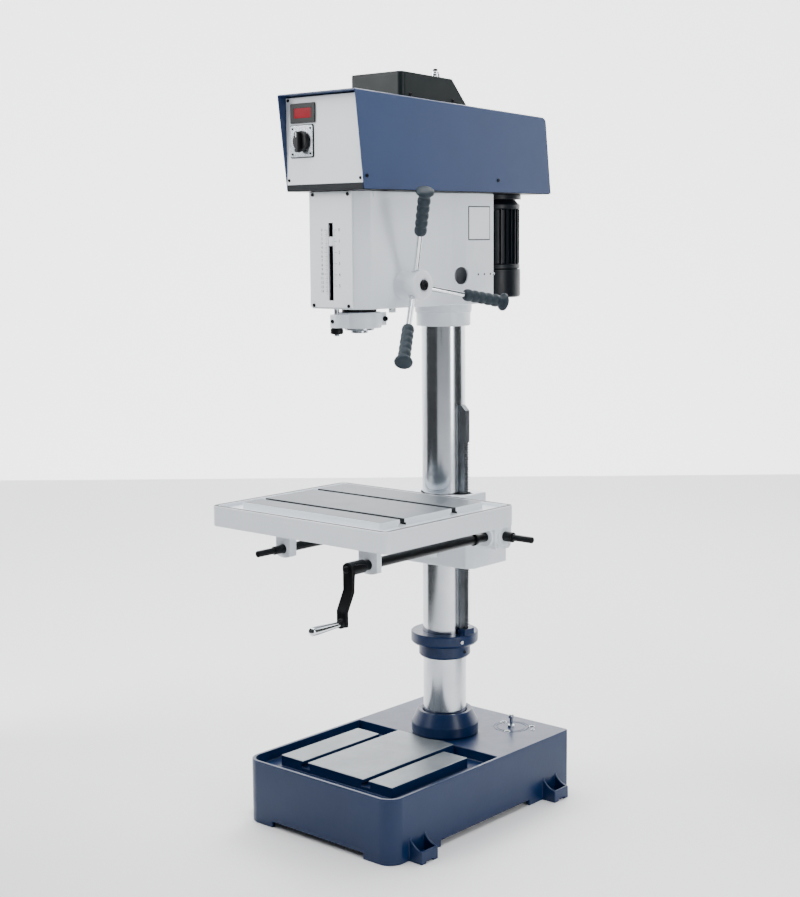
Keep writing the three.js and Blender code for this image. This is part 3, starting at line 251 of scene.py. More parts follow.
# a moulded rubber or plastic with a fine grain
def mouldedFinish(name, color, cloud, roughness, grainSize, grainDepth, specular=0.5):
    finish, tree, shader = newFinish(name)
    where = addNode(tree, "ShaderNodeTexCoord").outputs["Object"]
    driveColor(tree, shader, color, cloud, addNoise(tree, where, 0.04, 3.0))
    grain = addNoise(tree, where, grainSize * mm, 2.0)
    driveRoughness(tree, shader, roughness - 0.05, roughness + 0.08, grain)
    tree.links.new(addBump(tree, 0.4, grainDepth, {"Height": grain}), shader.inputs["Normal"])
    shader.inputs["Specular IOR Level"].default_value = specular
    return finish


# semi-gloss navy machine enamel over sand-cast iron: deep blue, slow waves, soft highlights on the edges
navyEnamel = paintFinish("navyMachineEnamel", "#08254c", "#071f42", 0.3, 2.4, 0.06, 14, 0.35, specular=0.3)
# powder coat on folded sheet steel: even greyed blue with a fine orange peel
hoodEnamel = paintFinish("bluePowderCoat", "#223861", "#1f3359", 0.38, 1.6, 0.05)
# off-white machine enamel over cast iron: cool white, faint waves of the filled casting
whiteEnamel = paintFinish("whiteMachineEnamel", "#dde2e8", "#d3d9e0", 0.36, 2.2, 0.05, 18, 0.25, coat=0.15)
# smooth white baked enamel on flat sheet
panelEnamel = paintFinish("whiteBakedEnamel", "#e2e6eb", "#dce1e6", 0.32, 1.4, 0.02)
# blue-black enamel on the motor and covers
blackEnamel = paintFinish("blueBlackEnamel", "#090e14", "#0c131a", 0.34, 1.8, 0.05, 12, 0.15, specular=0.22)
# satin green-black powder coat of the top cover
coverEnamel = paintFinish("greenBlackPowderCoat", "#0d1819", "#0b1415", 0.4, 1.4, 0.05, specular=0.22)
# ground and polished steel column: bright, with grinding lines round it
columnSteel = metalFinish("groundColumnSteel", "#c9cdd2", "#b4b9bf", 0.17, 0.6, (30, 30, 1), 0.004,
                          anisotropic=0.3)
# ground cast iron, milled along the slots: darker grey, soft sheen
tableIron = metalFinish("groundCastIron", "#646b72", "#545b61", 0.42, 0.9, (24, 1, 1), 0.01,
                        metallic=0.3, specular=0.2)
# milled cast iron pads of the base, with the cutter's lines across them
padIron = metalFinish("milledCastIron", "#878d92", "#6c7378", 0.38, 1.1, (1, 18, 1), 0.012,
                      metallic=0.35, specular=0.35)
# darker iron on the walls of the T-slots: painted shade of the unlit recesses
tSlotShadeIron = metalFinish("tSlotPaintedShadeIron", "#2c3033", "#1e2124", 0.5, 1.0, (12, 1, 1), 0.01, metallic=0.6)
# milled rack steel, darker than the column
rackSteel = metalFinish("milledRackSteel", "#8b9095", "#62676c", 0.3, 0.5, (1, 1, 20), 0.006)
# cold-drawn steel of rods, rack and spindle
drawnSteel = metalFinish("drawnSteel", "#b9bec4", "#9aa0a7", 0.26, 0.5, (1, 1, 20), 0.006)
# bright chrome plate
chromePlate = metalFinish("chromePlate", "#dfe2e5", "#d4d8dc", 0.07, 1.0, (1, 1, 1), 0.0005)
# black-oxide steel with an oiled sheen
blackOxide = metalFinish("blackOxideSteel", "#15181b", "#0c0e10", 0.32, 0.7, (1, 12, 1), 0.006,
                         metallic=0.7)
# slate-grey moulded rubber grips
slateRubber = mouldedFinish("slateRubber", "#1f2c35", "#1a262e", 0.5, 0.8, 0.02, specular=0.3)
# satin black plastic
blackPlastic = mouldedFinish("satinBlackPlastic", "#0b0d0f", "#101214", 0.34, 0.6, 0.01, specular=0.25)
# black rubber of gaskets, the bumper ring and the belt
blackRubber = mouldedFinish("blackRubber", "#0d0f10", "#121415", 0.6, 0.7, 0.02, specular=0.25)
# deep red acrylic over a numeric display
redAcrylic = mouldedFinish("redAcrylic", "#8f0a1d", "#7d0819", 0.14, 1.0, 0.0005, specular=0.25)
# printed black ink
blackInk = mouldedFinish("blackInk", "#1c1f22", "#1c1f22", 0.5, 0.8, 0.001)
# unlit inside of a hole
darkHole = mouldedFinish("darkHole", "#0c0d0e", "#101112", 0.8, 1.0, 0.001)
print("finishes mixed")


# ------- modelling helpers

axisTurn = {
    "x": Matrix.Rotation(math.radians(90), 4, "Y"),
    "y": Matrix.Rotation(math.radians(-90), 4, "X"),
    "z": Matrix.Identity(4),
}


# rounds the given edges
def bevelEdges(bm, edges, width, segments):
    bmesh.ops.bevel(bm, geom=edges, offset=width * mm, offset_type="OFFSET", affect="EDGES",
                    segments=segments, profile=0.5, material=-1, clamp_overlap=False)


# rounds every edge sharper than the angle
def roundEdges(bm, width, segments=3, angle=30):
    limit = math.radians(angle)
    sharp = [e for e in bm.edges if len(e.link_faces) == 2 and e.calc_face_angle(0) > limit]
    bevelEdges(bm, sharp, width, segments)


# a turned shape: (radius, distance) points in millimetres, turned about the axis through the centre
def spun(profile, axis, centre, steps=64, rounding=0):
    bm = bmesh.new()
    verts = [bm.verts.new((r * mm, 0, d * mm)) for r, d in profile]
    pairs = list(zip(verts, verts[1:]))
    if profile[0][0] > 0:
        pairs.append((verts[-1], verts[0]))
    edges = [bm.edges.new(pair) for pair in pairs]
    bmesh.ops.spin(bm, geom=verts + edges, cent=(0, 0, 0), axis=(0, 0, 1), dvec=(0, 0, 0),
                   angle=2 * math.pi, steps=steps, use_merge=True)
    bmesh.ops.remove_doubles(bm, verts=bm.verts, dist=1e-6)
    bmesh.ops.dissolve_degenerate(bm, edges=bm.edges, dist=1e-6)
    bmesh.ops.recalc_face_normals(bm, faces=bm.faces)
    if rounding:
        roundEdges(bm, rounding, angle=25)
    if isinstance(axis, str):
        turn = axisTurn[axis]
    else:
        turn = Vector(axis).to_track_quat("Z", "Y").to_matrix().to_4x4()
    bmesh.ops.transform(bm, matrix=Matrix.Translation(centre) @ turn, verts=bm.verts)
    return bm


# a flat outline of (a, b) points pushed along an axis from one distance to another, in millimetres
def pushed(outline, axis, start, end):
    bm = bmesh.new()
    corner = {"x": lambda a, b: place(start, a, b), "y": lambda a, b: place(a, start, b),
              "z": lambda a, b: place(a, b, start)}[axis]
    move = {"x": (1, 0, 0), "y": (0, 1, 0), "z": (0, 0, 1)}[axis]
    face = bm.faces.new([bm.verts.new(corner(a, b)) for a, b in outline])
    grown = bmesh.ops.extrude_face_region(bm, geom=[face])
    top = [g for g in grown["geom"] if isinstance(g, bmesh.types.BMVert)]
    bmesh.ops.translate(bm, verts=top, vec=Vector(move) * (end - start) * mm)
    bmesh.ops.recalc_face_normals(bm, faces=bm.faces)
    return bm


# a block between two corners in millimetres, with rounded edges
def block(low, high, rounding=0, segments=3):
    bm = bmesh.new()
    bmesh.ops.create_cube(bm, size=1)
    a, b = place(*low), place(*high)
    size = Matrix.Diagonal((*(b - a), 1))
    bmesh.ops.transform(bm, matrix=Matrix.Translation((a + b) / 2) @ size, verts=bm.verts)
    if rounding:
        roundEdges(bm, rounding, segments)
    return bm


# a rounded rectangle's outline
def roundedOutline(a0, a1, b0, b1, radius, steps=8):
    points = []
    for corner, (a, b) in enumerate(((a1 - radius, b1 - radius), (a0 + radius, b1 - radius),
                                     (a0 + radius, b0 + radius), (a1 - radius, b0 + radius))):
        for i in range(steps + 1):
            turn = math.radians(90 * corner + 90 * i / steps)
            points.append((a + radius * math.cos(turn), b + radius * math.sin(turn)))
    return points


# a merged copy of a CAD node with its sharp edges rounded
def castCopy(node, rounding, segments=3, angle=32):
    bm = bmesh.new()
    bm.from_mesh(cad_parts[node].data)
    bmesh.ops.remove_doubles(bm, verts=bm.verts, dist=0.00002)
    bmesh.ops.dissolve_limit(bm, angle_limit=math.radians(0.6), verts=bm.verts, edges=bm.edges)
    if rounding:
        roundEdges(bm, rounding, segments, angle)
    return bm


# joins one bmesh into another
def addTo(bm, other):
    mesh = bpy.data.meshes.new("joined")
    other.to_mesh(mesh)
    other.free()
    bm.from_mesh(mesh)
    bpy.data.meshes.remove(mesh)
    return bm


# cuts one closed shape away from another
def cutAway(bm, cutter):
    pair = []
    for shape, name in ((bm, "cutBody"), (cutter, "cutTool")):
        mesh = bpy.data.meshes.new(name)
        shape.to_mesh(mesh)
        shape.free()
        item = bpy.data.objects.new(name, mesh)
        bpy.context.scene.collection.objects.link(item)
        pair.append(item)
    cut = pair[0].modifiers.new("cut", "BOOLEAN")
    cut.object = pair[1]
    cut.operation = "DIFFERENCE"
    cut.solver = "EXACT"
    bpy.context.view_layer.update()
    mesh = bpy.data.meshes.new_from_object(pair[0].evaluated_get(bpy.context.evaluated_depsgraph_get()))
    made = bmesh.new()
    made.from_mesh(mesh)
    bpy.data.meshes.remove(mesh)
    for item in pair:
        bpy.data.objects.remove(item)
    return made


# makes the piece, gives it its finishes and lets it ride on a body
def finishPiece(bm, name, body, finishes, replaced=(), smooth=38, pick=None):
    if pick:
        for face in bm.faces:
            face.material_index = pick(face)
    mesh = bpy.data.meshes.new(name)
    bm.to_mesh(mesh)
    bm.free()
    for finish in finishes:
        mesh.materials.append(finish)
    mesh.polygons.foreach_set("use_smooth", [True] * len(mesh.polygons))
    mesh.set_sharp_from_angle(angle=math.radians(smooth))
    piece = bpy.data.objects.new(name, mesh)
    bpy.context.scene.collection.objects.link(piece)
    weighted = piece.modifiers.new("evenShading", "WEIGHTED_NORMAL")
    weighted.keep_sharp = True
    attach(piece, body)
    if replaced:
        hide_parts(*replaced)
    return piece


# a rounded copy of a CAD node, in one finish
def roundNode(node, name, body, finish, rounding, segments=3):
    finishPiece(castCopy(node, rounding, segments), name, body, [finish], [node])


# a CAD node kept as it is, with a better finish
def keepNode(node, finish):
    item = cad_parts[node]
    item.data.materials.clear()
    item.data.materials.append(finish)


# a fastener head: a short turned head with a round socket in it, facing along a direction
def screwHead(centre, direction, radius, height, socket=0.5):
    inner = radius * socket
    profile = [(0, 0), (radius, 0), (radius, height * 0.7), (radius * 0.82, height), (inner, height),
               (inner, height * 0.4), (0, height * 0.4)]
    return spun(profile, direction, centre, steps=24)


# a hexagon head with a low chamfer, facing along a direction
def hexHead(centre, direction, radius, height):
    profile = [(0, 0), (radius, 0), (radius, height), (radius * 0.9, height * 1.12), (0, height * 1.12)]
    return spun(profile, direction, centre, steps=6)


# equal screw heads at the given places, numbered from 1
def addScrews(name, spots, direction, radius, height, finish, body="stand"):
    for number, spot in enumerate(spots, 1):
        screw = screwHead(place(*spot), direction, radius, height)
        finishPiece(screw, f"{name}{number}", body, [finish])


# the four corners of a rectangle, from its middle and its half sizes
def corners(a, b, across, up):
    return ((a - across, b + up), (a + across, b + up), (a - across, b - up), (a + across, b - up))


# ------- base

base = {"rounding": 2, "padTop": 171, "padHalf": 184, "padFront": -414, "padRear": -76}


def buildBase():
    low = place(-base["padHalf"], base["padFront"], base["padTop"] - 1)
    high = place(base["padHalf"], base["padRear"], 0)

    # the tops of the pads are machined bare
    def pick(face):
        spot = face.calc_center_median()
        return 1 if spot.z > low.z and low.x < spot.x < high.x and low.y < spot.y < high.y else 0

    finishPiece(castCopy("base_casting", base["rounding"]), "baseCasting", "stand", [navyEnamel, padIron],
                ["base_casting"], pick=pick)


flange = {"foot": 84, "belly": 86.5, "neck": 70, "inner": 55.6, "bottom": 169.6, "bellyLow": 5,
          "bellyHigh": 28, "height": 61, "rounding": 1.2}


def buildFlange():
    f, z = flange, flange["bottom"]
    inner, top = f["inner"], z + f["height"]
    profile = [(inner, z), (f["foot"], z), (f["belly"], z + f["bellyLow"]),
               (f["belly"], z + f["bellyHigh"]), (f["neck"], top), (inner + 6, top), (inner + 1, top - 4)]
    finishPiece(spun(profile, "z", place(0, 0, 0), 96, f["rounding"]), "columnFlange", "stand",
                [navyEnamel], ["column_flange"], smooth=50)


column = {"radius": 55, "bottom": 169.6, "top": 1500, "wall": 9, "rounding": 0.8}


def buildColumn():
    c = column
    outer, inner = c["radius"], c["radius"] - c["wall"]
    profile = [(inner, c["bottom"]), (outer, c["bottom"]), (outer, c["top"]), (inner, c["top"])]
    finishPiece(spun(profile, "z", place(0, 0, 0), 128, c["rounding"]), "columnTube", "stand",
                [columnSteel], ["column_tube"])


collar = {"radius": 66, "bottom": 372, "height": 33.6, "screw": 4.6, "inner": 55.6, "rounding": 1.2}


def buildCollar():
    c = collar
    z0, z1 = c["bottom"], c["bottom"] + c["height"]
    profile = [(c["inner"], z0 + 1), (c["radius"] - 5, z0), (c["radius"], z0 + 5), (c["radius"], z1),
               (c["inner"], z1)]
    finishPiece(spun(profile, "z", place(0, 0, 0), 96, c["rounding"]), "stopCollar", "stand", [navyEnamel],
                ["stop_collar"])
    spot = place(c["radius"] - 0.6, 0, (z0 + z1) / 2)
    finishPiece(screwHead(spot, "x", c["screw"], 2.2), "collarSetScrew", "stand", [blackOxide])


ring = {"radius": 86, "bottom": 406, "top": 437, "rounding": 1.6, "screwAngle": -20}


def buildRing():
    radius = ring["radius"]
    roundNode("rack_ring", "rackRing", "rack", navyEnamel, ring["rounding"])
    turn = math.radians(ring["screwAngle"])
    spot = place(radius * math.cos(turn), radius * math.sin(turn), (ring["bottom"] + ring["top"]) / 2)
    finishPiece(screwHead(spot, (math.cos(turn), math.sin(turn), 0), 4.4, 2.4), "ringScrew", "rack",
                [chromePlate])
    keepNode("rack_bar", rackSteel)


# deck fittings behind the column: sump cover with its hold-down stud, and threaded holes with thin rims
deckFittings = {"holes": ((75, 152, 7), (129, 96, 6), (154, 169, 6), (171, 150, 3.5)), "deck": 169,
                "sump": (113, 134), "sumpBore": 4.6, "coverRadius": 44.6, "coverThickness": 4}


def buildDeckFittings():
    d = deckFittings
    deck, edge, bore = d["deck"], d["coverRadius"], d["sumpBore"]
    x, y = d["sump"]
    under = deck - d["coverThickness"]
    profile = [(bore, under), (edge, under), (edge, deck), (edge - 5, deck), (edge - 6, deck - 1),
               (edge - 8, deck - 1), (edge - 9, deck), (bore, deck)]
    finishPiece(spun(profile, "z", place(x, y, 0), 72, 0.5), "sumpCover", "stand", [navyEnamel],
                ["sump_cover"])
    bm = spun([(0, deck - 3), (4, deck - 3), (4, deck + 24), (7.5, deck + 24), (7.5, deck + 30),
               (5.5, deck + 33.5), (0, deck + 34)], "z", place(x, y, 0), 36, 0.6)
    addTo(bm, hexHead(place(x, y, deck + 0.3), "z", 9.5, 5))
    finishPiece(bm, "sumpStud", "stand", [drawnSteel], ["sump_bolt"])
    for number, (hx, hy, r) in enumerate(d["holes"], 1):
        centre = place(hx, hy, 0)
        rim = spun([(r, deck - 0.5), (r + 2.2, deck - 0.5), (r + 1.8, deck + 0.7), (r, deck + 0.5)],
                   "z", centre, 32)
        finishPiece(rim, f"deckHoleRim{number}", "stand", [drawnSteel])
        # a thin near-black disc of painted shade stands for the unlit inside of each hole
        bore = spun([(0, deck - 0.4), (r, deck - 0.4), (r, deck + 0.15), (0, deck + 0.15)], "z", centre, 32)
        finishPiece(bore, f"deckHole{number}", "stand", [darkHole])


# washers in the four anchor lugs
lugs = {"out": 259.5, "floor": 24.2, "places": ((1, -391), (1, 128), (-1, -391), (-1, 128))}


def buildLugWashers():
    for number, (side, y) in enumerate(lugs["places"], 1):
        spot = place(side * lugs["out"], y, lugs["floor"])
        washer = spun([(8.4, 0), (14, 0), (14, 1.6), (8.4, 1.6)], "z", spot, 32, 0.3)
        finishPiece(washer, f"lugWasher{number}", "stand", [drawnSteel])


buildBase()
buildFlange()
buildColumn()
buildCollar()
buildRing()
buildDeckFittings()
buildLugWashers()
print("base and column built")


# ------- table, bracket and its drives

table = {"top": 809.3, "blockHalf": 225, "blockFront": -488.6, "blockRear": -123.4, "rounding": 1.4,
         "slotDepth": 15, "slotWallIn": 4}


def buildTable():
    low = place(-table["blockHalf"] - 1, table["blockFront"] - 1, 0)
    high = place(table["blockHalf"] + 1, table["blockRear"] + 1, table["top"])
    top = high.z

    def pick(face):
        spot = face.calc_center_median()
        onBlock = low.x < spot.x < high.x and low.y < spot.y < high.y
        if onBlock and spot.z > top - 0.3 * mm:
            return 1
        # faces inside the slots take the darker iron: painted shade of the recess
        inSlot = onBlock and top - table["slotDepth"] * mm < spot.z < top and abs(face.normal.x) < 0.5
        edge = table["slotWallIn"] * mm
        deepInside = low.y + edge < spot.y < high.y - edge
        return 2 if inSlot and deepInside else 0

    finishPiece(castCopy("table_top", table["rounding"]), "tableTop", "table",
                [whiteEnamel, tableIron, tSlotShadeIron], ["table_top"], pick=pick)


bracket = {"castings": (("table_bracket", "tableBracket", 4, 4), ("shaft_hanger", "shaftHanger", 2, 3),
                        ("lock_hanger", "lockHanger", 2, 3), ("gear_case", "gearCase", 1.6, 3)),
           "caseFace": 210, "caseMiddle": (-27.5, 710.4), "caseScrew": (22, 24),
           "clampX": -70, "rear": 77.5, "clampHeights": (655, 742)}


def buildBracket():
    b = bracket
    for node, name, rounding, segments in b["castings"]:
        roundNode(node, name, "table", whiteEnamel, rounding, segments)
    (y, z), (across, up) = b["caseMiddle"], b["caseScrew"]
    spots = [(b["caseFace"], *spot) for spot in corners(y, z, across, up)]
    addScrews("gearCaseScrew", spots, "x", 3.2, 2, whiteEnamel, "table")
    # two clamp bolts across the split at the back
    for number, height in enumerate(b["clampHeights"], 1):
        bolt = hexHead(place(b["clampX"], b["rear"], height), "y", 9.5, 7)
        finishPiece(bolt, f"clampBolt{number}", "table", [blackOxide])


crank = {"x": 182.4, "z": 710.4, "drop": 118, "radius": 11.5, "start": -503, "end": -52, "nutFace": -554.3}


def buildCrank():
    c = crank
    x, z = c["x"], c["z"]
    axis = place(x, 0, z)
    shaft = spun([(0, c["start"]), (c["radius"], c["start"]), (c["radius"], c["end"]), (0, c["end"])],
                 "y", axis, 48, 0.8)
    finishPiece(shaft, "crankShaft", "crank", [blackOxide], ["crank_shaft"])
    stopRing = spun([(11.7, -112), (15.5, -112), (15.5, -104), (11.7, -104)], "y", axis, 40, 0.6)
    finishPiece(stopRing, "shaftStopRing", "crank", [blackOxide])
    roundNode("crank_arm", "crankArm", "crank", blackOxide, 1.6)
    nut = spun([(0, -561), (6, -561), (7.5, -559.6), (7.5, c["nutFace"]), (0, c["nutFace"])],
               "y", axis, 32, 0.5)
    finishPiece(nut, "crankNut", "crank", [blackOxide], ["crank_nut"])
    low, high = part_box("crank_grip")
    start, end = (low.y - columnY) / mm, (high.y - columnY) / mm
    profile = [(0, start), (7.6, start), (9.6, start + 1.6), (10, start + 5), (9.9, start + 18),
               (9.2, start + 34),
               (8, start + 56), (7, end - 16), (6.6, end - 3), (5.8, end), (4.6, end), (4.6, start + 8),
               (0, start + 8)]
    finishPiece(spun(profile, "y", place(x, 0, z - c["drop"]), 64), "crankGrip", "crank_handle",
                [chromePlate], ["crank_grip"], smooth=50)


lockRod = {"x": -87.4, "z": 712.3, "collarFace": -516.9, "hangerFace": -488.1}


def buildRods():
    low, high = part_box("lock_rod")
    front, rear = (low.y - columnY) / mm, (high.y - columnY) / mm
    collarFace, hangerFace = lockRod["collarFace"], lockRod["hangerFace"]
    profile = [(0, front), (6.4, front), (7.7, front + 1.3), (7.7, collarFace), (10, collarFace),
               (10, hangerFace), (10.5, hangerFace), (10.5, rear), (0, rear)]
    rod = spun(profile, "y", place(lockRod["x"], 0, lockRod["z"]), 48, 0.5)
    finishPiece(rod, "lockRod", "table_lock", [blackOxide], ["lock_rod"])
    roundNode("cross_shaft", "crossShaft", "worm_shaft", blackOxide, 0.6)
    keepNode("lift_pinion", drawnSteel)


buildTable()
buildBracket()
buildCrank()
buildRods()
print("table and bracket built")


# ------- head, quill and feed

head = {"half": 96, "railFront": -362, "railRear": -92, "railLow": 1526, "railHigh": 1539,
        "rearFace": 107.3, "pins": (5, 29, 53), "setScrew": 64, "pinHeight": 1344,
        "plateLow": (107.4, -34, 1427), "plateHigh": (108.6, 50, 1509),
        "plateFaceLow": (108.4, -31.5, 1429.5), "plateFaceHigh": (108.9, 47.5, 1506.5),
        "plug": (86, -289, 1272)}


def buildHead():
    h = head
    roundNode("head_casting", "headCasting", "stand", whiteEnamel, 3, 4)
    # raised rail along each side under the hood
    for side in (-1, 1):
        x0, x1 = sorted((side * (h["half"] + 0.2), side * (h["half"] + 1.8)))
        rail = block((x0, h["railFront"], h["railLow"]), (x1, h["railRear"], h["railHigh"]), 0.7)
        name = "headRail" + ("Left" if side < 0 else "Right")
        finishPiece(rail, name, "stand", [whiteEnamel])
    face, z = h["rearFace"], h["pinHeight"]
    # small dark turned shapes of painted shade stand for the unlit pin holes
    for number, y in enumerate(h["pins"], 1):
        finishPiece(screwHead(place(face, y, z), "x", 2.6, 0.6, 0.7), f"headPinHole{number}", "stand",
                    [darkHole])
    finishPiece(screwHead(place(face, h["setScrew"], z), "x", 4, 1.8), "headSetScrew", "stand",
                [chromePlate])
    finishPiece(block(h["plateLow"], h["plateHigh"], 0.5), "blankPlate", "stand", [blackInk])
    finishPiece(block(h["plateFaceLow"], h["plateFaceHigh"], 0.2), "blankPlateFace", "stand", [panelEnamel])
    finishPiece(hexHead(place(*h["plug"]), (0, 0, -1), 8.6, 9), "headPlug", "stand", [chromePlate])


scale = {"face": -403.1, "slotHalf": 7.5, "zero": 1452.5, "inch": 25.4, "numberOut": 20,
         "screws": ((-55, 1533), (55, 1533), (-55, 1280), (55, 1280))}


# engraved numbers, made of text outlines and turned to face the operator
def addNumeral(text, x, z, height, name):
    data = bpy.data.curves.new(name, "FONT")
    data.body = text
    data.size = height * mm
    data.align_x = "CENTER"
    data.align_y = "CENTER"
    data.extrude = 0.1 * mm
    item = bpy.data.objects.new(name, data)
    bpy.context.scene.collection.objects.link(item)
    bpy.context.view_layer.update()
    mesh = bpy.data.meshes.new_from_object(item.evaluated_get(bpy.context.evaluated_depsgraph_get()))
    bpy.data.objects.remove(item)
    upright = Matrix.Rotation(math.radians(90), 4, "X")
    mesh.transform(Matrix.Translation(place(x, scale["face"] - 0.1, z)) @ upright)
    bm = bmesh.new()
    bm.from_mesh(mesh)
    bpy.data.meshes.remove(mesh)
    return bm


# a printed line of the scale, from the slot outwards to one side
def addScaleLine(marks, side, z, length, halfThickness):
    near = side * (scale["slotHalf"] + 2)
    x0, x1 = sorted((near, near + side * length))
    low = (x0, scale["face"] - 0.15, z - halfThickness)
    addTo(marks, block(low, (x1, scale["face"] + 0.1, z + halfThickness)))


def buildScalePlate():
    s = scale
    roundNode("scale_plate", "scalePlate", "stand", panelEnamel, 0.6, 2)
    marks = bmesh.new()
    numberX = s["slotHalf"] + s["numberOut"]
    # centimetres on the left of the slot, inches on the right
    for number in range(15):
        z = s["zero"] - number * 10
        addScaleLine(marks, -1, z, 11 if number % 5 == 0 else 7, 0.35)
        for part in (2.5, 5, 7.5):
            addScaleLine(marks, -1, z - part, 6.5 if part == 5 else 4, 0.2)
        addTo(marks, addNumeral(str(number), -numberX, z, 8.5, "numeral"))
    for number in range(6):
        z = s["zero"] - number * s["inch"]
        addScaleLine(marks, 1, z, 11, 0.35)
        for part in range(1, 8 if number < 5 else 1):
            addScaleLine(marks, 1, z - part * s["inch"] / 8, 8 if part == 4 else 4.5, 0.2)
        addTo(marks, addNumeral(str(number), numberX, z, 10, "numeral"))
    finishPiece(marks, "scaleMarks", "stand", [blackInk])
    spots = [(x, s["face"], z) for x, z in s["screws"]]
    addScrews("plateScrew", spots, (0, -1, 0), 4.2, 2.2, blackOxide)


quill = {"y": -309, "bumperLow": 1262.4, "bumperInner": 35.4, "bumper": 41, "bumperHeight": 9.2,
         "rodY": -386, "clampHeight": 1243.5}


def buildQuill():
    q = quill
    roundNode("quill_clamp", "quillClamp", "quill", whiteEnamel, 1.4)
    roundNode("quill_sleeve", "quillSleeve", "quill", drawnSteel, 0)
    keepNode("lower_bearing", drawnSteel)
    keepNode("upper_bearing", drawnSteel)
    z0, inner, outer, height = q["bumperLow"], q["bumperInner"], q["bumper"], q["bumperHeight"]
    bumper = [(inner, z0), (outer - 1, z0), (outer, z0 + 1.5), (outer, z0 + 7.5), (outer - 1, z0 + height),
              (inner, z0 + height)]
    finishPiece(spun(bumper, "z", place(0, q["y"], 0), 80, 0.6), "quillBumper", "stand", [blackRubber],
                ["quill_bumper"])
    profile = [(12, 1213), (18.7, 1213), (19.7, 1214), (19.7, 1219.1), (15, 1219.1), (15, 1480),
               (11, 1484), (11, 1740), (0, 1740), (0, 1293), (9, 1293), (12, 1213.4)]
    finishPiece(spun(profile, "z", place(0, q["y"], 0), 72), "spindle", "spindle_turning", [drawnSteel],
                ["spindle"])
    roundNode("depth_pointer", "depthPointer", "quill", whiteEnamel, 1)
    rodAxis = place(0, q["rodY"], 0)
    low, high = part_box("depth_rod")
    z0, z1 = heightOf(low), heightOf(high)
    rod = spun([(0, z0), (5.2, z0), (6, z0 + 1), (6, z1), (0, z1)], "z", rodAxis, 32)
    finishPiece(rod, "depthRod", "quill", [drawnSteel], ["depth_rod"])
    low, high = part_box("depth_nut")
    z0, z1 = heightOf(low), heightOf(high)
    nut = spun([(6.4, z0), (12.5, z0), (15, z0 + 2), (15, z1 - 2), (12.5, z1), (6.4, z1)], "z", rodAxis, 40)
    finishPiece(nut, "depthNut", "depth_nut_turning", [blackOxide], ["depth_nut"])
    pinch = screwHead(place(14.2, -236, q["clampHeight"]), "x", 6.3, 7.4)
    finishPiece(pinch, "pinchBolt", "quill", [blackOxide], ["pinch_bolt"])
    setScrew = screwHead(place(0, -400, q["clampHeight"]), (0, -1, 0), 4.6, 3)
    finishPiece(setScrew, "clampSetScrew", "quill", [blackOxide])


feed = {"y": -264, "z": 1325.5, "hubIn": 122.4, "hubOut": 162.4, "hub": 35.5, "lean": 22.9,
        "firstAngle": -11.7, "rod": 6.5, "reach": 247, "gripLength": 115, "rodFrom": 10, "rodInHub": 22,
        "rods": 3, "rodInGrip": 29, "bulges": 5, "bulgeSteps": 8, "bulgeRise": 2.3,
        "capFace": -122.4, "headFace": -96.4}


# where the three rods start, and the direction of one of them
def rodFrame(number):
    lean = math.radians(feed["lean"])
    turn = math.radians(feed["firstAngle"] + number * 360 / feed["rods"])
    direction = Vector((math.sin(lean), math.cos(lean) * math.cos(turn), math.cos(lean) * math.sin(turn)))
    return place(feed["hubIn"] + feed["rodFrom"], feed["y"], feed["z"]), direction


# the outline of a rubber grip: soft bulges, then a round cap at the end
def gripOutline(gripStart):
    f = feed
    bore, boreEnd = f["rod"] + 0.4, gripStart + f["rodInGrip"] + 0.5
    outline = [(bore, gripStart), (10.4, gripStart), (11.6, gripStart + 1.2)]
    pitch = (f["gripLength"] - 24) / f["bulges"]
    for step in range(f["bulges"] * f["bulgeSteps"] + 1):
        along = step / f["bulgeSteps"]
        swell = 12.1 + 0.8 * along / f["bulges"]
        rise = f["bulgeRise"] * abs(math.sin(math.pi * along)) ** 0.7
        outline.append((swell + rise, gripStart + 1.6 + along * pitch))
    cap = f["reach"] - 20
    return outline + [(13.2, cap), (16, cap + 4), (20, cap + 8), (21.3, cap + 11.5), (20.6, cap + 15),
                      (17, cap + 18.2), (9, cap + 19.8), (0, cap + 20), (0, boreEnd), (bore, boreEnd)]


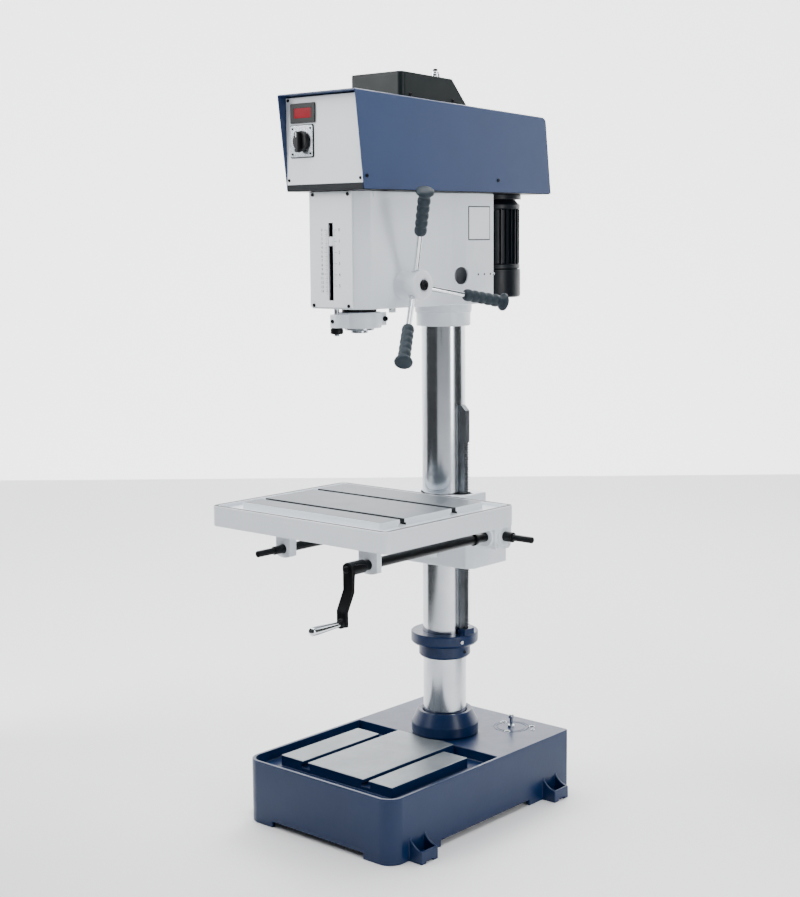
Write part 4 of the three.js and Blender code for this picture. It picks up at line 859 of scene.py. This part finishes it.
def buildFeed():
    f = feed
    axis = place(0, f["y"], f["z"])
    low, out, radius = f["hubIn"], f["hubOut"], f["hub"]
    hub = [(9.4, low), (radius - 4, low), (radius, low + 4), (radius, out - 6), (radius - 3, out - 1.6),
           (radius - 8, out), (16, out), (14.5, out - 2), (9.4, out - 2)]
    finishPiece(spun(hub, "x", axis, 96, 0.8), "feedHub", "feed", [whiteEnamel],
                ["feed_hub"], smooth=45)
    bolt = [(0, out - 1.6), (13, out - 1.6), (13, out + 1), (11, out + 4), (6, out + 4.4), (5, out + 1.6),
            (0, out + 1.6)]
    finishPiece(spun(bolt, "x", axis, 48, 0.5), "hubBolt", "feed", [blackOxide],
                ["hub_bolt"])
    keepNode("feed_shaft", drawnSteel)
    gripStart = f["reach"] - f["gripLength"]
    rodEnd = gripStart + f["rodInGrip"]
    rodProfile = [(0, f["rodInHub"]), (f["rod"], f["rodInHub"]), (f["rod"], rodEnd), (0, rodEnd)]
    socketBore = f["rod"] + 0.3
    socketProfile = [(socketBore, 29), (10.5, 29), (10.5, 37.5), (9.4, 38.8), (socketBore, 38.8)]
    for number in range(f["rods"]):
        start, direction = rodFrame(number)
        finishPiece(spun(rodProfile, direction, start, 40, 0.4), f"feedRod{number + 1}", "feed",
                    [chromePlate], [f"feed_rod_{number + 1}"])
        finishPiece(spun(socketProfile, direction, start, 40, 0.4), f"rodCollar{number + 1}", "feed",
                    [whiteEnamel])
        finishPiece(spun(gripOutline(gripStart), direction, start, 64), f"feedGrip{number + 1}", "feed",
                    [slateRubber], [f"feed_grip_{number + 1}"], smooth=60)
    face, inner = f["capFace"], f["headFace"]
    cap = [(0, face), (33, face), (37, face + 2), (38, face + 5.4), (38, inner), (35, inner),
           (35, face + 3.4), (0, face + 3.4)]
    finishPiece(spun(cap, "x", axis, 72, 0.6), "springCap", "stand", [blackEnamel],
                ["spring_cap"])
    nut = hexHead(place(face, f["y"], f["z"]), (-1, 0, 0), 9, 6)
    finishPiece(nut, "springCapNut", "stand", [blackOxide])


buildHead()
buildScalePlate()
buildQuill()
buildFeed()
print("head, quill and feed built")


# ------- hood, control panel and top cover

hood = {"half": 122, "bottom": 1543.2, "frontBottom": -419, "frontTop": -446, "frontTopZ": 1760.3,
        "rearBottom": 288, "rearTop": 264, "rearTopZ": 1732.7, "sheet": 2.4, "fold": 4, "rearFold": 14,
        "screws": (-411, 65), "screwHeight": 1571.5}


# the height of the hood's sloping roof
def roofZ(y):
    h = hood
    slope = (h["rearTopZ"] - h["frontTopZ"]) / (h["rearTop"] - h["frontTop"])
    return h["frontTopZ"] + (y - h["frontTop"]) * slope


def buildHood():
    h = hood
    outline = [(h["frontBottom"], h["bottom"]), (h["rearBottom"], h["bottom"]),
               (h["rearTop"], h["rearTopZ"]), (h["frontTop"], h["frontTopZ"])]
    bm = pushed(outline, "x", -h["half"], h["half"])
    bm.faces.ensure_lookup_table()
    away = [f for f in bm.faces if f.normal.z < -0.9 or f.normal.y < -0.9]
    bmesh.ops.delete(bm, geom=away, context="FACES")
    folds = [e for e in bm.edges if len(e.link_faces) == 2]
    rear = [e for e in folds if abs(e.verts[0].co.x - e.verts[1].co.x) > 0.1]
    bevelEdges(bm, rear, h["rearFold"], 6)
    folds = [e for e in bm.edges if len(e.link_faces) == 2 and e.calc_face_angle(0) > math.radians(60)]
    bevelEdges(bm, folds, h["fold"], 4)
    bmesh.ops.solidify(bm, geom=bm.faces[:], thickness=h["sheet"] * mm)
    bmesh.ops.recalc_face_normals(bm, faces=bm.faces)
    finishPiece(bm, "beltHood", "stand", [hoodEnamel], ["belt_hood"])
    for side, name in ((-1, "hoodScrewLeft"), (1, "hoodScrewRight")):
        spots = [(side * (h["half"] - 0.2), y, h["screwHeight"]) for y in h["screws"]]
        addScrews(name, spots, (side, 0, 0), 4.6, 2.6, blackOxide)
    roundNode("hood_pan", "hoodPan", "stand", blackEnamel, 0.5, 2)


panel = {"y": -421, "screws": (0, 1657.5, 112, 90.5), "display": (-103, -24, 1695.2, 1740.2),
         "opening": (-91.5, -35.5, 1705.6, 1729.8), "window": (-90.5, -36.5, 1706.6, 1728.8),
         "gasket": (-105, -30, 1617, 1692), "plate": (-103.2, -31.8, 1618.8, 1690.2),
         "plateScrews": (-67.5, 1654.5, 28.5, 28.5), "knob": (-65.5, 1654.5)}


def buildPanel():
    p = panel
    face = p["y"]
    roundNode("control_panel", "controlPanel", "stand", panelEnamel, 0.6, 2)
    spots = [(x, face, z) for x, z in corners(*p["screws"])]
    addScrews("panelScrew", spots, (0, -1, 0), 3.6, 2, blackOxide)
    # display: raised rounded bezel, red window set into it
    bezel = pushed(roundedOutline(*p["display"], 3), "y", face - 0.3, face - 3.6)
    roundEdges(bezel, 0.9, 3, 50)
    hole = pushed(roundedOutline(*p["opening"], 2.4), "y", face - 4.5, face - 2.6)
    finishPiece(cutAway(bezel, hole), "displayBezel", "stand", [blackPlastic],
                ["tach_bezel"])
    window = pushed(roundedOutline(*p["window"], 1.6), "y", face - 2.7, face - 3.2)
    finishPiece(window, "displayWindow", "stand", [redAcrylic], ["tach_window"])
    # switch: dark gasket, bright plate, knob with a grip bar
    gasket = pushed(roundedOutline(*p["gasket"], 5), "y", face - 0.2, face - 1.6)
    finishPiece(gasket, "switchGasket", "stand", [blackRubber])
    plate = pushed(roundedOutline(*p["plate"], 5), "y", face - 1.6, face - 3.6)
    roundEdges(plate, 0.8, 3, 50)
    finishPiece(plate, "switchPlate", "stand", [drawnSteel], ["switch_plate"])
    spots = [(x, face - 3.5, z) for x, z in corners(*p["plateScrews"])]
    addScrews("switchScrew", spots, (0, -1, 0), 2.6, 1.2, blackOxide)
    x, z = p["knob"]
    knobProfile = [(0, face - 13), (21, face - 13), (23.5, face - 10), (24, face - 4), (0, face - 4)]
    knob = spun(knobProfile, "y", place(x, 0, z), 64, 0.8)
    bar = pushed(roundedOutline(x - 6, x + 6, z - 26, z + 22, 5.8), "y", face - 11, face - 23.5)
    roundEdges(bar, 1.6, 3, 50)
    addTo(knob, bar)
    finishPiece(knob, "switchKnob", "knob", [blackPlastic], ["switch_knob"])
    mark = pushed(roundedOutline(x - 1, x + 1, z + 8, z + 19, 0.9, 3), "y", face - 23.4, face - 23.8)
    finishPiece(mark, "knobMark", "knob", [panelEnamel])


cover = {"half": 82, "front": -246, "rearTop": -62, "rear": 0, "height": 63, "corner": 14,
         "edge": 2.2, "screws": (-215, -60), "screwRise": 12, "fitting": (58, -96)}


def buildTopCover():
    c = cover
    frontLow, rearLow = roofZ(c["front"]), roofZ(c["rear"])
    top = frontLow + c["height"]
    slope = roofZ(c["rearTop"]) - frontLow
    outline = [(c["front"], frontLow + 0.4), (c["front"], top), (c["rearTop"], top + slope),
               (c["rear"], rearLow + 0.4)]
    bm = pushed(outline, "x", -c["half"], c["half"])
    frontEnd = place(0, c["front"] + 5, 0).y
    upright = [e for e in bm.edges if abs(e.verts[0].co.z - e.verts[1].co.z) > 30 * mm
               and all(v.co.y < frontEnd for v in e.verts)]
    bevelEdges(bm, upright, c["corner"], 8)
    lower = [f for f in bm.faces if f.normal.z < -0.8]
    rims = {e for f in lower for e in f.edges}
    upperEdges = [e for e in bm.edges if e.calc_face_angle(0) > math.radians(28) and e not in rims]
    bevelEdges(bm, upperEdges, c["edge"], 3)
    finishPiece(bm, "topCover", "stand", [coverEnamel], ["top_cover"])
    places = [(side, y) for side in (1, -1) for y in c["screws"]]
    for number, (side, y) in enumerate(places, 1):
        spot = place(side * (c["half"] - 0.2), y, roofZ(y) + c["screwRise"])
        finishPiece(screwHead(spot, (side, 0, 0), 3.8, 2.2), f"coverScrew{number}", "stand",
                    [blackOxide])
    buildTopFitting()


# a small bright fitting that stands on the top cover, with a rubber tip
def buildTopFitting():
    axis = place(*cover["fitting"], 0)
    low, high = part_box("top_fitting")
    z0, z1 = heightOf(low), heightOf(high)
    body = [(0, z0), (12.5, z0), (12.5, z0 + 2.4), (11, z0 + 3), (11, z0 + 9), (9.5, z0 + 9.5),
            (9.5, z0 + 14), (7, z0 + 15.5), (0, z0 + 15.5)]
    finishPiece(spun(body, "z", axis, 48, 0.4), "topFitting", "stand", [chromePlate],
                ["top_fitting"])
    tip = [(0, z0 + 15.3), (5.5, z0 + 15.3), (6, z0 + 17), (5, z1 - 1), (3, z1), (0, z1)]
    finishPiece(spun(tip, "z", axis, 32, 0.3), "fittingTip", "stand", [blackRubber])


# ------- motor

motor = {"y": 191, "radius": 75, "bore": 9.5, "bottom": 1352.5, "top": 1528.5, "fins": 30,
         "finHeight": 7, "finThickness": 2.4, "boxLow": (-109, 1400), "boxHigh": (-66, 1480),
         "boxHalf": 40, "lidLow": (-109.4, 1404), "lidHigh": (-107.5, 1476), "lidHalf": 36,
         "lidFace": -109.2, "lidMiddle": 1440, "lidScrew": 30, "gland": -92,
         "flange": 78, "flangeLow": 1529, "flangeHigh": 1540.6,
         "airRings": ((20, 8), (36, 14), (52, 20)), "airHole": 4}


def buildMotorBody(axis):
    m = motor
    bottom, top, radius, bore = m["bottom"], m["top"], m["radius"], m["bore"]
    core = radius - m["finHeight"]
    profile = [(bore, bottom), (core, bottom), (radius, bottom + 2), (radius, bottom + 12),
               (core, bottom + 15), (core, top - 26), (radius, top - 23), (radius, top - 13),
               (radius - 13, top), (bore, top)]
    body = spun(profile, "z", axis, 96, 0.8)
    finLength = top - bottom - 38
    shape = Matrix.Diagonal(((m["finHeight"] + 3) * mm, m["finThickness"] * mm, finLength * mm, 1))
    middle = ((core + m["finHeight"] / 2 - 2) * mm, 0, (top + bottom) / 2 * mm - 5.5 * mm)
    for number in range(m["fins"]):
        turn = Matrix.Rotation(math.radians(360 * (number + 0.5) / m["fins"]), 4, "Z")
        fin = bmesh.new()
        bmesh.ops.create_cube(fin, size=1)
        where = Matrix.Translation(axis) @ turn @ Matrix.Translation(middle) @ shape
        bmesh.ops.transform(fin, matrix=where, verts=fin.verts)
        addTo(body, fin)
    finishPiece(body, "motorBody", "stand", [blackEnamel], ["motor_body"])


def buildTerminalBox():
    m = motor
    for name, low, high, half, rounding in (("terminalBox", m["boxLow"], m["boxHigh"], m["boxHalf"], 3),
                                            ("terminalLid", m["lidLow"], m["lidHigh"], m["lidHalf"], 0.6)):
        shape = block((low[0], m["y"] - half, low[1]), (high[0], m["y"] + half, high[1]), rounding)
        finishPiece(shape, name, "stand", [blackEnamel])
    spots = [(m["lidFace"], y, z) for y, z in corners(m["y"], m["lidMiddle"], m["lidScrew"], m["lidScrew"])]
    addScrews("lidScrew", spots, (-1, 0, 0), 3, 1.8, drawnSteel)
    low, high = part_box("cable_gland")
    z0, z1 = heightOf(low), heightOf(high) + 0.4
    gland = [(0, z0), (6.5, z0), (8.5, z0 + 4), (9, z0 + 9), (11, z0 + 10), (11, z1), (0, z1)]
    finishPiece(spun(gland, "z", place(m["gland"], m["y"], 0), 24, 0.4), "cableGland", "stand",
                [blackPlastic], ["cable_gland"])


def buildFanCover(axis):
    m = motor
    low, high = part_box("motor_fan_cover")
    z0, z1 = heightOf(low), heightOf(high)
    shell = [(0, z0), (70, z0), (75.5, z0 + 2), (77, z0 + 6), (77, z1), (75, z1), (75, z0 + 7),
             (69, z0 + 3), (0, z0 + 3)]
    finishPiece(spun(shell, "z", axis, 96), "fanCover", "stand", [blackEnamel],
                ["motor_fan_cover"], smooth=50)
    # round air slots in the underside of the fan cover, drawn as thin near-black discs of painted shade
    hole = [(0, z0 - 0.3), (m["airHole"], z0 - 0.3), (m["airHole"], z0 + 0.4), (0, z0 + 0.4)]
    for ringNumber, (radius, count) in enumerate(m["airRings"], 1):
        holes = bmesh.new()
        for number in range(count):
            turn = 2 * math.pi * number / count
            spot = place(radius * math.cos(turn), m["y"] + radius * math.sin(turn), 0)
            addTo(holes, spun(hole, "z", spot, 16))
        finishPiece(holes, f"airHoles{ringNumber}", "stand", [darkHole])


def buildMotor():
    m = motor
    axis = place(0, m["y"], 0)
    buildMotorBody(axis)
    buildTerminalBox()
    low, high = m["flangeLow"], m["flangeHigh"]
    rim = [(m["bore"], low), (m["flange"], low), (m["flange"], high), (m["bore"], high)]
    finishPiece(spun(rim, "z", axis, 96, 0.8), "motorFlange", "stand", [blackEnamel],
                ["motor_flange"])
    buildFanCover(axis)
    for node in ("motor_rotor", "motor_pulley", "spindle_pulley", "return_spring"):
        keepNode(node, drawnSteel)
    keepNode("drive_belt", blackRubber)


buildHood()
buildPanel()
buildTopCover()
buildMotor()
print("hood, panel, cover and motor built")
